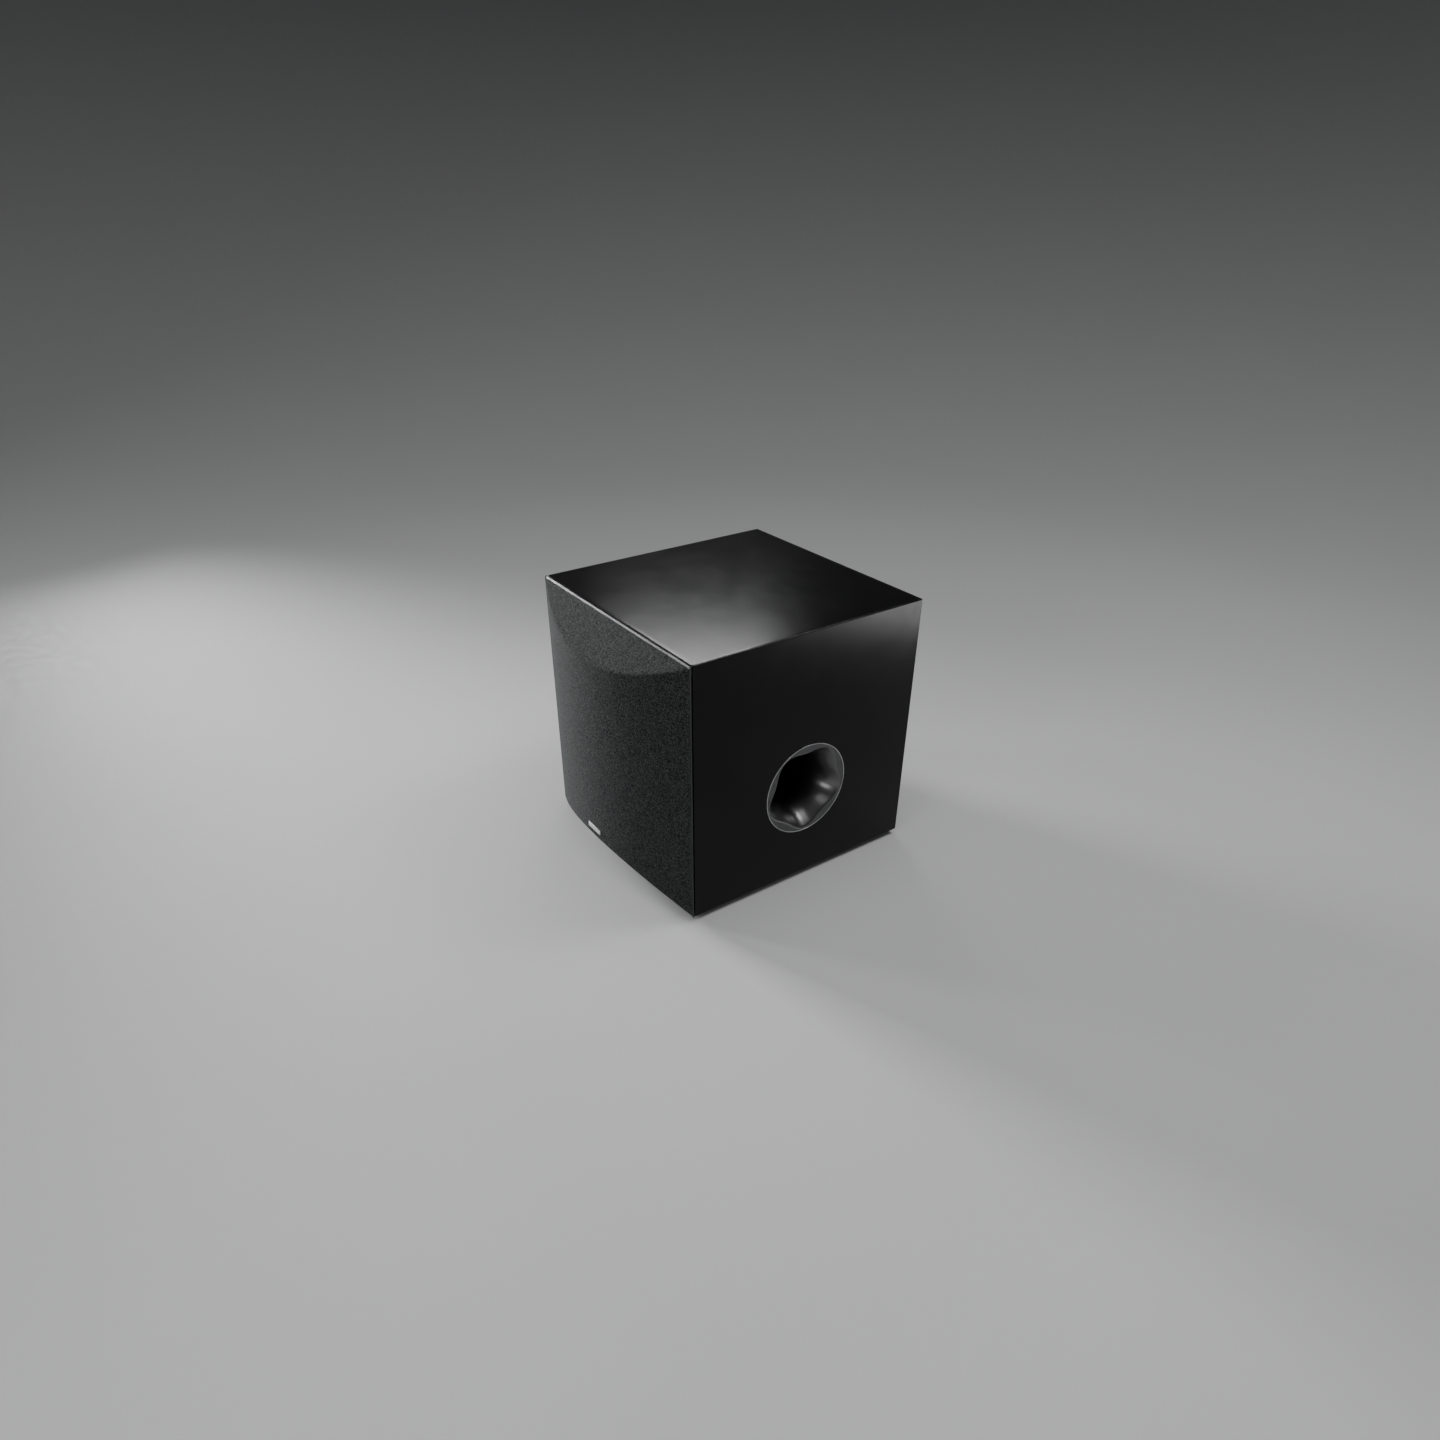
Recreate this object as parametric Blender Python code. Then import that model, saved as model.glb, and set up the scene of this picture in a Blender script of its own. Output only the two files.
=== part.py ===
"""Powered subwoofer with a bowed cloth grille in front and a lobed bass port in its right side.

Frame: +Z up, the grille faces -Y, the port faces +X, and the origin is on the floor under
the middle of the object's bounding box. All sizes below are in millimetres.
"""

import math

import bmesh
import bpy
from mathutils import Matrix, Vector

MM = 0.001
GAP = 0.3  # clearance between touching pieces
PAST = 5.0  # how far a cutter reaches beyond the face that it leaves through

# Cabinet
WIDTH = 350.0
BOX_HEIGHT = 354.0
BOX_DEPTH = 352.0
FOOT_HEIGHT = 8.0
WALL = 18.0
EDGE_ROUND = 1.2
BAFFLE_RECESS = 1.0  # also the rear panel's

# The amplifier plate's thickness and its knobs set how far the object reaches behind the cabinet
PLATE_THICK = 2.5
KNOB_LIFT, KNOB_LENGTH = 2.5, 14.5
REAR_DEPTH = GAP - BAFFLE_RECESS + PLATE_THICK + KNOB_LIFT + KNOB_LENGTH
GRILLE_DEPTH = 47.0  # cabinet front to the badge's face

Y_FRONT = GRILLE_DEPTH - (GRILLE_DEPTH + BOX_DEPTH + REAR_DEPTH) / 2
Y_BACK = Y_FRONT + BOX_DEPTH
Z_BASE = FOOT_HEIGHT
Z_TOP = Z_BASE + BOX_HEIGHT
Z_MID = (Z_BASE + Z_TOP) / 2
HALF_WIDTH = WIDTH / 2
INNER_X = HALF_WIDTH - WALL
INNER_LOW = Z_BASE + WALL
INNER_HIGH = Z_TOP - WALL

BAFFLE_FACE = Y_FRONT + BAFFLE_RECESS
REAR_FACE = Y_BACK - BAFFLE_RECESS
BRACE_Y = 92.0
BRACE_THICK = 12.0
BRACE_WINDOW = (110.0, 115.0)  # half width and half height
FOOT_X, FOOT_FRONT, FOOT_BACK, FOOT_RADIUS = 140.0, -128.0, 152.0, 19.0
PAD_THICK, PAD_FRONT, PAD_LOW, PAD_HIGH = 12.0, -128.0, 48.0, 318.0

# Bass port
PORT_Y = Y_FRONT - 2.0 + 0.503 * BOX_HEIGHT
PORT_Z = Z_BASE + 0.3745 * BOX_HEIGHT
PORT_FLANGE_RADIUS = 64.7
PORT_MOUTH_RADIUS = 56.9
PORT_LOBE = 4.2
PORT_LOBES = 5
PORT_LOBE_ANGLE = 54.0  # first lobe, from +Y towards +Z
PORT_THROAT = 39.0
PORT_FLARE_LENGTH = 60.0
PORT_WALL = 2.5
PORT_END = 38.0  # x of the port's inner end

# Woofer, along +Y behind the baffle's face
WOOFER_Z = Z_MID
BASKET_RADIUS = 131.0
WOOFER_HOLE = 118.0
CONE_EDGE, CONE_NECK = 92.0, 26.2
CONE_FRONT, CONE_DEPTH = -3.0, 45.0
FORMER_RADIUS = 25.9
MOTOR_FRONT = 73.3

# Grille
CLOTH_BACK = 4.3  # where the cloth starts, ahead of the cabinet's front
CLOTH_EDGE, CLOTH_BOW = 4.0, 41.5
CLOTH_THICK = 1.0
RIM_BACK = 2.0
BEVEL_SLOPE = 1.03
FRAME_WALL = 3.0
RIB = 7.0
PEG_X, PEG_Z = 140.0, 142.0
PEG_RADIUS, PEG_LENGTH = 4.0, 13.0
BOSS_RADIUS = 7.0
SOCKET_RADIUS = 7.0

# Amplifier plate and what it carries
PLATE_HALF_WIDTH, PLATE_LOW, PLATE_HIGH = 118.0, 40.0, 330.0
CUTOUT_HALF_WIDTH, CUTOUT_LOW, CUTOUT_HIGH = 100.0, 57.0, 313.0
PLATE_INNER = REAR_FACE + GAP
PLATE_FACE = PLATE_INNER + PLATE_THICK
BOARD_Y, BOARD_THICK = 160.0, 1.6
BOARD_BACK = BOARD_Y + BOARD_THICK + GAP  # where the pieces that stand on the board begin
KNOB_Z, KNOB_X = 290.0, 55.0
KNOB_RADIUS = 11.0
SWITCH_Z, SWITCH_X = 243.0, 60.0
JACK_X, JACK_Z, JACK_PITCH = -52.0, 190.0, 18.0
TERMINAL_X, TERMINAL_Z = 42.0, 190.0
LEVER_PITCH_X, LEVER_PITCH_Z = 16.0, 30.0
LEVER_SIZE = (11.0, 12.0, 15.0)
INLET_X, ROCKER_X, MAINS_Z = -62.0, 62.0, 92.0
ROCKER_TILT = 7.0

FINISHES = {  # linear colour, roughness, metallic
    "black_vinyl": ((0.012, 0.012, 0.013), 0.45, 0.0),
    "bare_board": ((0.33, 0.22, 0.13), 0.85, 0.0),
    "black_board": ((0.02, 0.02, 0.02), 0.7, 0.0),
    "felt": ((0.18, 0.18, 0.17), 0.95, 0.0),
    "rubber": ((0.02, 0.02, 0.02), 0.7, 0.0),
    "port_plastic": ((0.02, 0.02, 0.021), 0.3, 0.0),
    "frame_plastic": ((0.025, 0.026, 0.027), 0.5, 0.0),
    "grille_cloth": ((0.03, 0.032, 0.031), 0.95, 0.0),
    "badge_metal": ((0.75, 0.76, 0.77), 0.3, 1.0),
    "painted_steel": ((0.03, 0.03, 0.03), 0.5, 0.4),
    "cone_paper": ((0.04, 0.04, 0.042), 0.6, 0.0),
    "surround_rubber": ((0.015, 0.015, 0.015), 0.5, 0.0),
    "kapton": ((0.45, 0.2, 0.05), 0.4, 0.0),
    "copper": ((0.72, 0.32, 0.18), 0.35, 1.0),
    "spider_cloth": ((0.5, 0.36, 0.14), 0.9, 0.0),
    "plated_steel": ((0.55, 0.55, 0.56), 0.35, 1.0),
    "ferrite": ((0.06, 0.06, 0.065), 0.75, 0.0),
    "aluminium": ((0.62, 0.63, 0.64), 0.4, 1.0),
    "circuit_green": ((0.03, 0.16, 0.07), 0.5, 0.0),
    "capacitor_sleeve": ((0.03, 0.05, 0.12), 0.4, 0.0),
    "tape_yellow": ((0.7, 0.5, 0.08), 0.6, 0.0),
    "black_plastic": ((0.02, 0.02, 0.02), 0.4, 0.0),
    "red_plastic": ((0.5, 0.02, 0.02), 0.4, 0.0),
    "iron_core": ((0.06, 0.06, 0.065), 0.5, 0.6),
    "nickel": ((0.6, 0.58, 0.53), 0.3, 1.0),
}


def clear_scene():
    for obj in list(bpy.data.objects):
        bpy.data.objects.remove(obj, do_unlink=True)


def material(finish):
    found = bpy.data.materials.get(finish)
    if found:
        return found
    colour, roughness, metallic = FINISHES[finish]
    made = bpy.data.materials.new(finish)
    made.use_nodes = True
    shader = made.node_tree.nodes["Principled BSDF"]
    shader.inputs["Base Color"].default_value = (*colour, 1.0)
    shader.inputs["Roughness"].default_value = roughness
    shader.inputs["Metallic"].default_value = metallic
    made.diffuse_color = (*colour, 1.0)
    return made


def place(name, bm, finish, at=(0.0, 0.0, 0.0)):
    """Turns a bmesh in millimetres into an object whose origin is at `at`."""
    bmesh.ops.remove_doubles(bm, verts=bm.verts, dist=1e-4)
    bmesh.ops.recalc_face_normals(bm, faces=bm.faces)
    bmesh.ops.scale(bm, vec=(MM, MM, MM), verts=bm.verts)
    mesh = bpy.data.meshes.new(name)
    bm.to_mesh(mesh)
    bm.free()
    mesh.shade_smooth()
    mesh.set_sharp_from_angle(angle=math.radians(35))
    obj = bpy.data.objects.new(name, mesh)
    obj.location = Vector(at) * MM
    if finish:
        mesh.materials.append(material(finish))
    bpy.context.scene.collection.objects.link(obj)
    return obj


def facing(axis):
    """The rotation that lays local +Z along the named world axis."""
    turns = {
        "X": Matrix.Rotation(math.pi / 2, 3, "Y"),
        "Y": Matrix.Rotation(-math.pi / 2, 3, "X"),
        "Z": Matrix.Identity(3),
    }
    return turns[axis]


def box(name, low, high, finish=None, at=(0.0, 0.0, 0.0)):
    """A block between two corners, given from `at`."""
    bm = bmesh.new()
    low, high = Vector(low), Vector(high)
    bmesh.ops.create_cube(bm, size=1.0)
    bmesh.ops.scale(bm, vec=high - low, verts=bm.verts)
    bmesh.ops.translate(bm, vec=(low + high) / 2, verts=bm.verts)
    return place(name, bm, finish, at)


def turned(name, profile, finish=None, at=(0.0, 0.0, 0.0), axis="Y", steps=40):
    """A closed profile of (radius, distance along the axis) points, turned round the axis."""
    bm = bmesh.new()
    verts = [bm.verts.new((radius, 0.0, along)) for radius, along in profile]
    edges = [bm.edges.new((verts[i - 1], vert)) for i, vert in enumerate(verts)]
    bmesh.ops.spin(
        bm,
        geom=verts + edges,
        cent=(0, 0, 0),
        axis=(0, 0, 1),
        angle=math.tau,
        steps=steps,
        use_merge=True,
    )
    bmesh.ops.rotate(bm, verts=bm.verts, cent=(0, 0, 0), matrix=facing(axis))
    return place(name, bm, finish, at)


def rod(name, radius, start, end, finish=None, at=(0.0, 0.0, 0.0), axis="Y", steps=20):
    return turned(name, [(0, end), (radius, end), (radius, start), (0, start)], finish, at, axis, steps)


def tube(name, outer, inner, start, end, finish=None, at=(0.0, 0.0, 0.0), axis="Y", steps=40):
    profile = [(inner, end), (outer, end), (outer, start), (inner, start)]
    return turned(name, profile, finish, at, axis, steps)


def extruded(name, points, along, finish, at):
    """The face through these points, extruded by the vector."""
    bm = bmesh.new()
    face = bm.faces.new([bm.verts.new(point) for point in points])
    raised = bmesh.ops.extrude_face_region(bm, geom=[face])["geom"]
    moved = [g for g in raised if isinstance(g, bmesh.types.BMVert)]
    bmesh.ops.translate(bm, vec=along, verts=moved)
    return place(name, bm, finish, at)


def prism(name, outline, start, end, finish=None, at=(0.0, 0.0, 0.0)):
    """An outline of (x, z) points extruded along Y."""
    return extruded(name, [(x, start, z) for x, z in outline], (0, end - start, 0), finish, at)


def side_prism(name, outline, start, end, finish, at):
    """An outline of (y, z) points extruded along X."""
    return extruded(name, [(start, y, z) for y, z in outline], (end - start, 0, 0), finish, at)


def rows(name, rings, finish=None, at=(0.0, 0.0, 0.0), closed=True):
    """A skin through rings of points; a closed one joins its last ring to its first."""
    bm = bmesh.new()
    verts = [[bm.verts.new(point) for point in ring] for ring in rings]
    pairs = list(zip(verts, verts[1:] + verts[:1])) if closed else list(zip(verts, verts[1:]))
    for near, far in pairs:
        for i in range(len(near)):
            bm.faces.new((near[i - 1], near[i], far[i], far[i - 1]))
    if not closed:
        bm.faces.new(verts[0])
        bm.faces.new(verts[-1])
    return place(name, bm, finish, at)


def combine(obj, helper, operation):
    """Adds a live Boolean to obj and hides the helper that it uses."""
    helper.hide_render = True
    helper.display_type = "WIRE"
    modifier = obj.modifiers.new(helper.name, "BOOLEAN")
    modifier.object = helper
    modifier.operation = operation
    modifier.solver = "EXACT"


def cut(obj, *helpers):
    for helper in helpers:
        combine(obj, helper, "DIFFERENCE")


def join(obj, *helpers):
    for helper in helpers:
        combine(obj, helper, "UNION")


def follow(parent, *children):
    """Parents the children to an object or empty without moving them."""
    for child in children:
        child.parent = parent
        child.location = child.location - parent.location


def pivot(name, at):
    empty = bpy.data.objects.new(name, None)
    empty.location = Vector(at) * MM
    bpy.context.scene.collection.objects.link(empty)
    return empty


# Cabinet


def wall_outline(half_width):
    """Half-mitred wall seen from the front, its outer face at height 0 and its inner face below."""
    turn = [math.radians(45 + 15 * i) for i in range(4)]
    corner = [
        (half_width - EDGE_ROUND * (1 - math.cos(a)), -EDGE_ROUND * (1 - math.sin(a))) for a in turn
    ]
    half_gap = GAP / 2 * math.sqrt(2)
    right = [(half_width - WALL, -WALL)] + corner
    right = [(x - half_gap, z) for x, z in right]
    return right + [(-x, z) for x, z in reversed(right)]


def wall(name, angle, half_width, reach):
    """One of the four walls, turned round the cabinet's middle."""
    turn = Matrix.Rotation(math.radians(angle), 2)
    outline = [turn @ Vector((x, reach + z)) for x, z in wall_outline(half_width)]
    return prism(name, [(p.x, p.y + Z_MID) for p in outline], Y_FRONT, Y_BACK, "black_vinyl")


def cabinet():
    wall("top_panel", 0, HALF_WIDTH, BOX_HEIGHT / 2)
    wall("bottom_panel", 180, HALF_WIDTH, BOX_HEIGHT / 2)
    wall("left_side_panel", 90, BOX_HEIGHT / 2, HALF_WIDTH)
    right = wall("right_side_panel", -90, BOX_HEIGHT / 2, HALF_WIDTH)
    at = (0.0, PORT_Y, PORT_Z)
    outside = HALF_WIDTH + PAST
    hole_radius, seat_radius = PORT_FLANGE_RADIUS - 2.7, PORT_FLANGE_RADIUS + GAP
    cut(
        right,
        rod("cut_port_hole", hole_radius, INNER_X - PAST, outside, None, at, "X", 48),
        rod("cut_port_seat", seat_radius, HALF_WIDTH - 4, outside, None, at, "X", 48),
    )

    low = (-INNER_X + GAP, INNER_LOW + GAP)
    high = (INNER_X - GAP, INNER_HIGH - GAP)
    baffle = box(
        "front_baffle",
        (low[0], BAFFLE_FACE, low[1]),
        (high[0], BAFFLE_FACE + WALL, high[1]),
        "black_board",
    )
    through = (-PAST, WALL + PAST)
    at = (0, BAFFLE_FACE, WOOFER_Z)
    cut(baffle, rod("cut_woofer_hole", WOOFER_HOLE, *through, None, at, "Y", 48))
    for x, z, side in grille_corners():
        at = (x, BAFFLE_FACE, z)
        cut(baffle, rod(f"cut_socket_{side}", SOCKET_RADIUS + GAP, *through, None, at))

    rear = box(
        "rear_panel",
        (low[0], REAR_FACE - WALL, low[1]),
        (high[0], REAR_FACE, high[1]),
        "black_board",
    )
    cut(
        rear,
        box(
            "cut_amp_opening",
            (-CUTOUT_HALF_WIDTH, REAR_FACE - WALL - PAST, CUTOUT_LOW),
            (CUTOUT_HALF_WIDTH, REAR_FACE + PAST, CUTOUT_HIGH),
        ),
    )
    brace = box(
        "window_brace",
        (low[0], BRACE_Y, low[1]),
        (high[0], BRACE_Y + BRACE_THICK, high[1]),
        "bare_board",
    )
    half_x, half_z = BRACE_WINDOW
    cut(
        brace,
        box(
            "cut_brace_window",
            (-half_x, BRACE_Y - PAST, Z_MID - half_z),
            (half_x, BRACE_Y + BRACE_THICK + PAST, Z_MID + half_z),
        ),
    )
    box(
        "damping_pad",
        (-INNER_X + GAP, PAD_FRONT, PAD_LOW),
        (-INNER_X + PAD_THICK, BRACE_Y - 8, PAD_HIGH),
        "felt",
    )


def feet():
    profile = [(0, FOOT_HEIGHT - GAP), (FOOT_RADIUS, FOOT_HEIGHT - GAP), (FOOT_RADIUS - 2, 0.8)]
    profile += [(FOOT_RADIUS - 2.8, 0), (0, 0)]
    for y, end in ((FOOT_FRONT, "front"), (FOOT_BACK, "back")):
        for x, side in ((-FOOT_X, "left"), (FOOT_X, "right")):
            turned(f"foot_{end}_{side}", profile, "rubber", (x, y, 0), "Z", 24)


# Bass port


def port_radius(angle, inward):
    """Inner radius of the flare; inward runs from 0 at the mouth to 1 at the round throat."""
    fade = 1 - inward
    mean = PORT_THROAT + (PORT_MOUTH_RADIUS - PORT_THROAT) * fade**2.2
    return mean + PORT_LOBE * fade * math.cos(PORT_LOBES * (angle - math.radians(PORT_LOBE_ANGLE)))


def port():
    at = (0, PORT_Y, PORT_Z)
    around = [math.tau * i / 50 for i in range(50)]
    steps = 6

    def ring(x, radii):
        return [(x, r * math.cos(a), r * math.sin(a)) for a, r in zip(around, radii)]

    inner, outer = [], []
    for i in range(steps + 1):
        inward = i / steps
        x = HALF_WIDTH - PORT_FLARE_LENGTH * inward
        radii = [port_radius(a, inward) for a in around]
        inner.append(ring(x, radii))
        if i:
            outer.insert(0, ring(x, [r + PORT_WALL for r in radii]))
    flange_back = HALF_WIDTH - 3.7
    flange = [
        ring(x, [r] * len(around))
        for x, r in (
            (flange_back, PORT_FLANGE_RADIUS - 3.6),
            (flange_back, PORT_FLANGE_RADIUS),
            (HALF_WIDTH, PORT_FLANGE_RADIUS),
        )
    ]
    rows("port_flare", inner + outer + flange, "port_plastic", at)

    throat = HALF_WIDTH - PORT_FLARE_LENGTH - GAP
    flare, joint = 12.0, PORT_END + 14
    outer_radius = PORT_THROAT + PORT_WALL
    tube("port_tube", outer_radius, PORT_THROAT, joint + GAP, throat, "black_plastic", at, "X")
    curve = [math.radians(90 * i / 4) for i in range(5)]
    inside = [
        (PORT_THROAT + flare * (1 - math.cos(a)), joint - flare * math.sin(a)) for a in curve
    ]
    outside = [(r + PORT_WALL, x) for r, x in reversed(inside[:-1])]
    mouth = inside[-1][0]
    lip = [(mouth, PORT_END), (mouth + PORT_WALL, PORT_END)]
    turned("port_inner_flare", inside + lip + outside, "black_plastic", at, "X")


# Woofer


def cone_front(radius):
    """How far behind the baffle's face the cone's front surface is at this radius."""
    return CONE_FRONT + CONE_DEPTH * (CONE_EDGE - radius) / (CONE_EDGE - CONE_NECK)


def woofer():
    at = (0.0, BAFFLE_FACE, WOOFER_Z)
    basket = turned(
        "woofer_basket",
        [
            (108.0, -GAP - 3), (BASKET_RADIUS, -GAP - 3), (BASKET_RADIUS, -GAP), (116.5, -GAP),
            (116.5, 20), (69, 57), (69, 73), (30, 73), (30, 71), (58, 71), (58, 60.5), (66, 60.5),
            (66, 57.8), (113.5, 20), (113.5, 2), (108, 2),
        ],
        "painted_steel", at,
    )
    windows = 8
    for i in range(windows):
        angle = math.tau * (i + 0.5) / windows
        half = math.radians(12)
        outline = [
            (r * math.sin(angle + side * half), r * math.cos(angle + side * half))
            for r, side in ((76, -1), (102, -1), (102, 1), (76, 1))
        ]
        cut(basket, prism(f"cut_basket_window_{i + 1}", outline, 22, 62, None, at))

    roll = [math.radians(180 * i / 6) for i in range(7)]
    land = -GAP * 2 - 3
    mid, reach, thick = 100.0, 7.5, 1.2
    outer_roll = [(mid + reach * math.cos(a), land - thick - reach * math.sin(a)) for a in roll]
    inside = reach - thick
    inner_roll = [(mid + inside * math.cos(a), land - inside * math.sin(a)) for a in reversed(roll)]
    surround = [(122, land), (122, land - thick)] + outer_roll + [(86, land - thick), (86, land)]
    turned("cone_surround", surround + inner_roll, "surround_rubber", at)
    tube("woofer_gasket", 130, 109.5, land - thick - GAP - 2, land - thick - GAP, "rubber", at)

    cone_thick = 1.2
    neck = cone_front(CONE_NECK)
    turned(
        "woofer_cone",
        [
            (CONE_EDGE, CONE_FRONT), (CONE_EDGE, CONE_FRONT + cone_thick),
            (CONE_NECK, neck + cone_thick), (CONE_NECK, neck),
        ],
        "cone_paper", at,
    )
    cap_radius, cap_rise = 35.0, 11.0
    base = cone_front(cap_radius) - GAP - 0.4
    arc = [i / 4 for i in range(5)]
    front = [(cap_radius * t, base - cap_rise * (1 - t * t) - 0.8) for t in arc]
    back = [(cap_radius * t, base - cap_rise * (1 - t * t)) for t in reversed(arc)]
    turned("dust_cap", back + front, "cone_paper", at, steps=32)
    tube("coil_former", FORMER_RADIUS, FORMER_RADIUS - 0.7, 44, 88, "kapton", at, steps=28)
    tube("voice_coil", 27.5, FORMER_RADIUS + GAP, 66, 88, "copper", at, steps=28)

    spider_front, spider_back, waves, inner_r, outer_r = [], [], 7, 26.5, 65.5
    for i in range(waves + 1):
        r = inner_r + (outer_r - inner_r) * i / waves
        offset = 1.6 * (-1) ** i if 0 < i < waves else 0.0
        spider_front.append((r, 57.4 - 0.9 + offset - 1.6))
        spider_back.insert(0, (r, 57.4 + offset - 1.6))
    turned("spider", spider_front + spider_back, "spider_cloth", at, steps=32)

    tube("motor_top_plate", 50, 28.6, MOTOR_FRONT, MOTOR_FRONT + 8, "plated_steel", at)
    tube("magnet_ring", 62, 33, MOTOR_FRONT + 8.3, MOTOR_FRONT + 28.3, "ferrite", at)
    back_face = MOTOR_FRONT + 36.6
    turned(
        "motor_yoke",
        [
            (8, back_face), (50, back_face), (50, back_face - 8), (24.6, back_face - 8),
            (24.6, MOTOR_FRONT), (8, MOTOR_FRONT),
        ],
        "plated_steel", at,
    )
    terminal = box("woofer_terminal", (-14, 62, 69.3), (14, 70, 72.3), "bare_board", at)
    for x, side in ((-8, "left"), (8, "right")):
        tab = box(f"terminal_tab_{side}", (x - 2.4, 68, 70.3), (x + 2.4, 80, 71.1), None, at)
        join(terminal, tab)


# Grille


def bow(x):
    """How far ahead of the cabinet's front the cloth stands at this x."""
    return CLOTH_EDGE + CLOTH_BOW * (1 - (x / HALF_WIDTH) ** 2)


def grille_body(name, inset, back, reach_x=HALF_WIDTH, reach_z=BOX_HEIGHT / 2, finish=None):
    """The grille's outer shape moved inwards by `inset`, from `back` ahead of the cabinet's front."""
    limit = HALF_WIDTH * math.sqrt(1 - max(0.0, (back + inset + 0.2 - CLOTH_EDGE) / CLOTH_BOW))
    reach = min(limit, reach_x)
    sections = []
    count = 32
    for i in range(count + 1):
        x = -reach + 2 * reach * i / count
        deep = bow(x) - inset

        def half_height(depth):
            bevel = BOX_HEIGHT / 2 - BEVEL_SLOPE * (depth - RIM_BACK) - inset * 1.43
            return min(bevel, reach_z)

        corner = min(deep, RIM_BACK + (BOX_HEIGHT / 2 - inset * 1.43 - reach_z) / BEVEL_SLOPE)
        corner = max(corner, back + 0.05)
        half = [(back, half_height(back)), (corner, half_height(corner)), (deep, half_height(deep))]
        ring = [(x, Y_FRONT - depth, Z_MID + z) for depth, z in half]
        ring += [(x, Y_FRONT - depth, Z_MID - z) for depth, z in reversed(half)]
        sections.append(ring)
    return rows(name, sections, finish, closed=False)


def grille_corners():
    for z, level in ((-PEG_Z, "low"), (PEG_Z, "high")):
        for x, side in ((-PEG_X, "left"), (PEG_X, "right")):
            yield x, Z_MID + z, f"{level}_{side}"


def grille_frame():
    inset = CLOTH_THICK + GAP
    frame = grille_body("grille_frame", inset, RIM_BACK, finish="frame_plastic")
    edge = BOX_HEIGHT / 2 - BEVEL_SLOPE * (CLOTH_BACK - GAP - RIM_BACK)
    rim = [
        [
            (-HALF_WIDTH, Y_FRONT - depth, Z_MID - half), (HALF_WIDTH, Y_FRONT - depth, Z_MID - half),
            (HALF_WIDTH, Y_FRONT - depth, Z_MID + half), (-HALF_WIDTH, Y_FRONT - depth, Z_MID + half),
        ]
        for depth, half in ((RIM_BACK, BOX_HEIGHT / 2), (CLOTH_BACK - GAP, edge))
    ]
    join(frame, rows("grille_rim", rim, closed=False))
    cut(frame, grille_body("cut_grille_hollow", inset + FRAME_WALL, RIM_BACK - 1, 158.0, 163.0))
    window_x, window_z = (RIB, 126.0), (RIB - 2, 104.0)
    for up, level in ((-1, "low"), (1, "high")):
        for across, side in ((-1, "left"), (1, "right")):
            xs = sorted(across * x for x in window_x)
            zs = sorted(Z_MID + up * z for z in window_z)
            low = (xs[0], Y_FRONT - 60, zs[0])
            high = (xs[1], Y_FRONT - 8, zs[1])
            cut(frame, box(f"cut_window_{level}_{side}", low, high))
    boss_top = bow(PEG_X + BOSS_RADIUS) - inset - 1
    for x, z, corner in grille_corners():
        at = (x, Y_FRONT - RIM_BACK, z)
        join(frame, rod(f"boss_{corner}", BOSS_RADIUS, RIM_BACK - boss_top, 0, None, at))
        join(frame, rod(f"peg_{corner}", PEG_RADIUS, -4, PEG_LENGTH, None, at))
        profile = [
            (PEG_RADIUS + GAP, -1), (9, -1), (9, -GAP), (SOCKET_RADIUS, -GAP),
            (SOCKET_RADIUS, 14), (PEG_RADIUS + GAP, 14),
        ]
        turned(f"grille_socket_{corner}", profile, "rubber", (x, BAFFLE_FACE, z), steps=16)
    return frame


def grille():
    frame = grille_frame()
    cloth = grille_body("grille_cloth", 0.0, CLOTH_BACK, finish="grille_cloth")
    cut(cloth, grille_body("cut_cloth_inside", CLOTH_THICK, CLOTH_BACK - 1))
    badge_z = Z_BASE + 0.165 * BOX_HEIGHT
    face = Y_FRONT - GRILLE_DEPTH
    badge = box("badge", (-15.5, face, badge_z - 3.3), (15.5, face + 1.2, badge_z + 3.3), "badge_metal")
    mover = pivot("grille_slide", (0, Y_FRONT, Z_MID))
    follow(mover, frame, cloth, badge)


# Amplifier


def knob(name, x):
    """A fluted knob with its shaft in a potentiometer; returns the hole that the plate needs."""
    at = (x, PLATE_FACE, KNOB_Z)
    outline = []
    for i in range(36):
        angle = math.tau * i / 36
        radius = KNOB_RADIUS - (0.7 if i % 2 else 0.0)
        outline.append((radius * math.sin(angle), radius * math.cos(angle)))
    length = KNOB_LIFT + KNOB_LENGTH
    cap = prism(f"{name}_knob", outline, KNOB_LIFT, length, "black_plastic", at)
    low, high = (-0.7, length - 0.8, 4), (0.7, length + 2, KNOB_RADIUS + 2)
    cut(cap, box(f"cut_{name}_pointer", low, high, None, at))
    join(cap, rod(f"{name}_shaft", 3, -PLATE_THICK - 8, 6, None, at))
    body = rod(
        f"{name}_potentiometer", 8.5, BOARD_BACK - PLATE_FACE, -PLATE_THICK - GAP, "nickel", at
    )
    cut(body, rod(f"cut_{name}_bore", 3 + GAP, -PLATE_THICK - 8.5, 5, None, at))
    return rod(f"cut_{name}_plate_hole", 3 + GAP, -PLATE_THICK - 2, 2, None, at)


def slide_switch(name, x, travel):
    """A slide switch's lever at its left stop; returns the slot that the plate needs."""
    at = (x, PLATE_FACE, SWITCH_Z)
    lever = box(f"{name}_switch", (-2, -PLATE_THICK - 4, -2), (2, 4, 2), "black_plastic", at)
    low, high = (-6, -PLATE_THICK - 4.5, -3.2), (6, -PLATE_THICK - GAP, 3.2)
    join(lever, box(f"{name}_slider", low, high, None, at))
    return box(f"cut_{name}_slot", (-2.4, -PLATE_THICK - 2, -2.4), (travel + 2.4, 2, 2.4), None, at)


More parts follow.
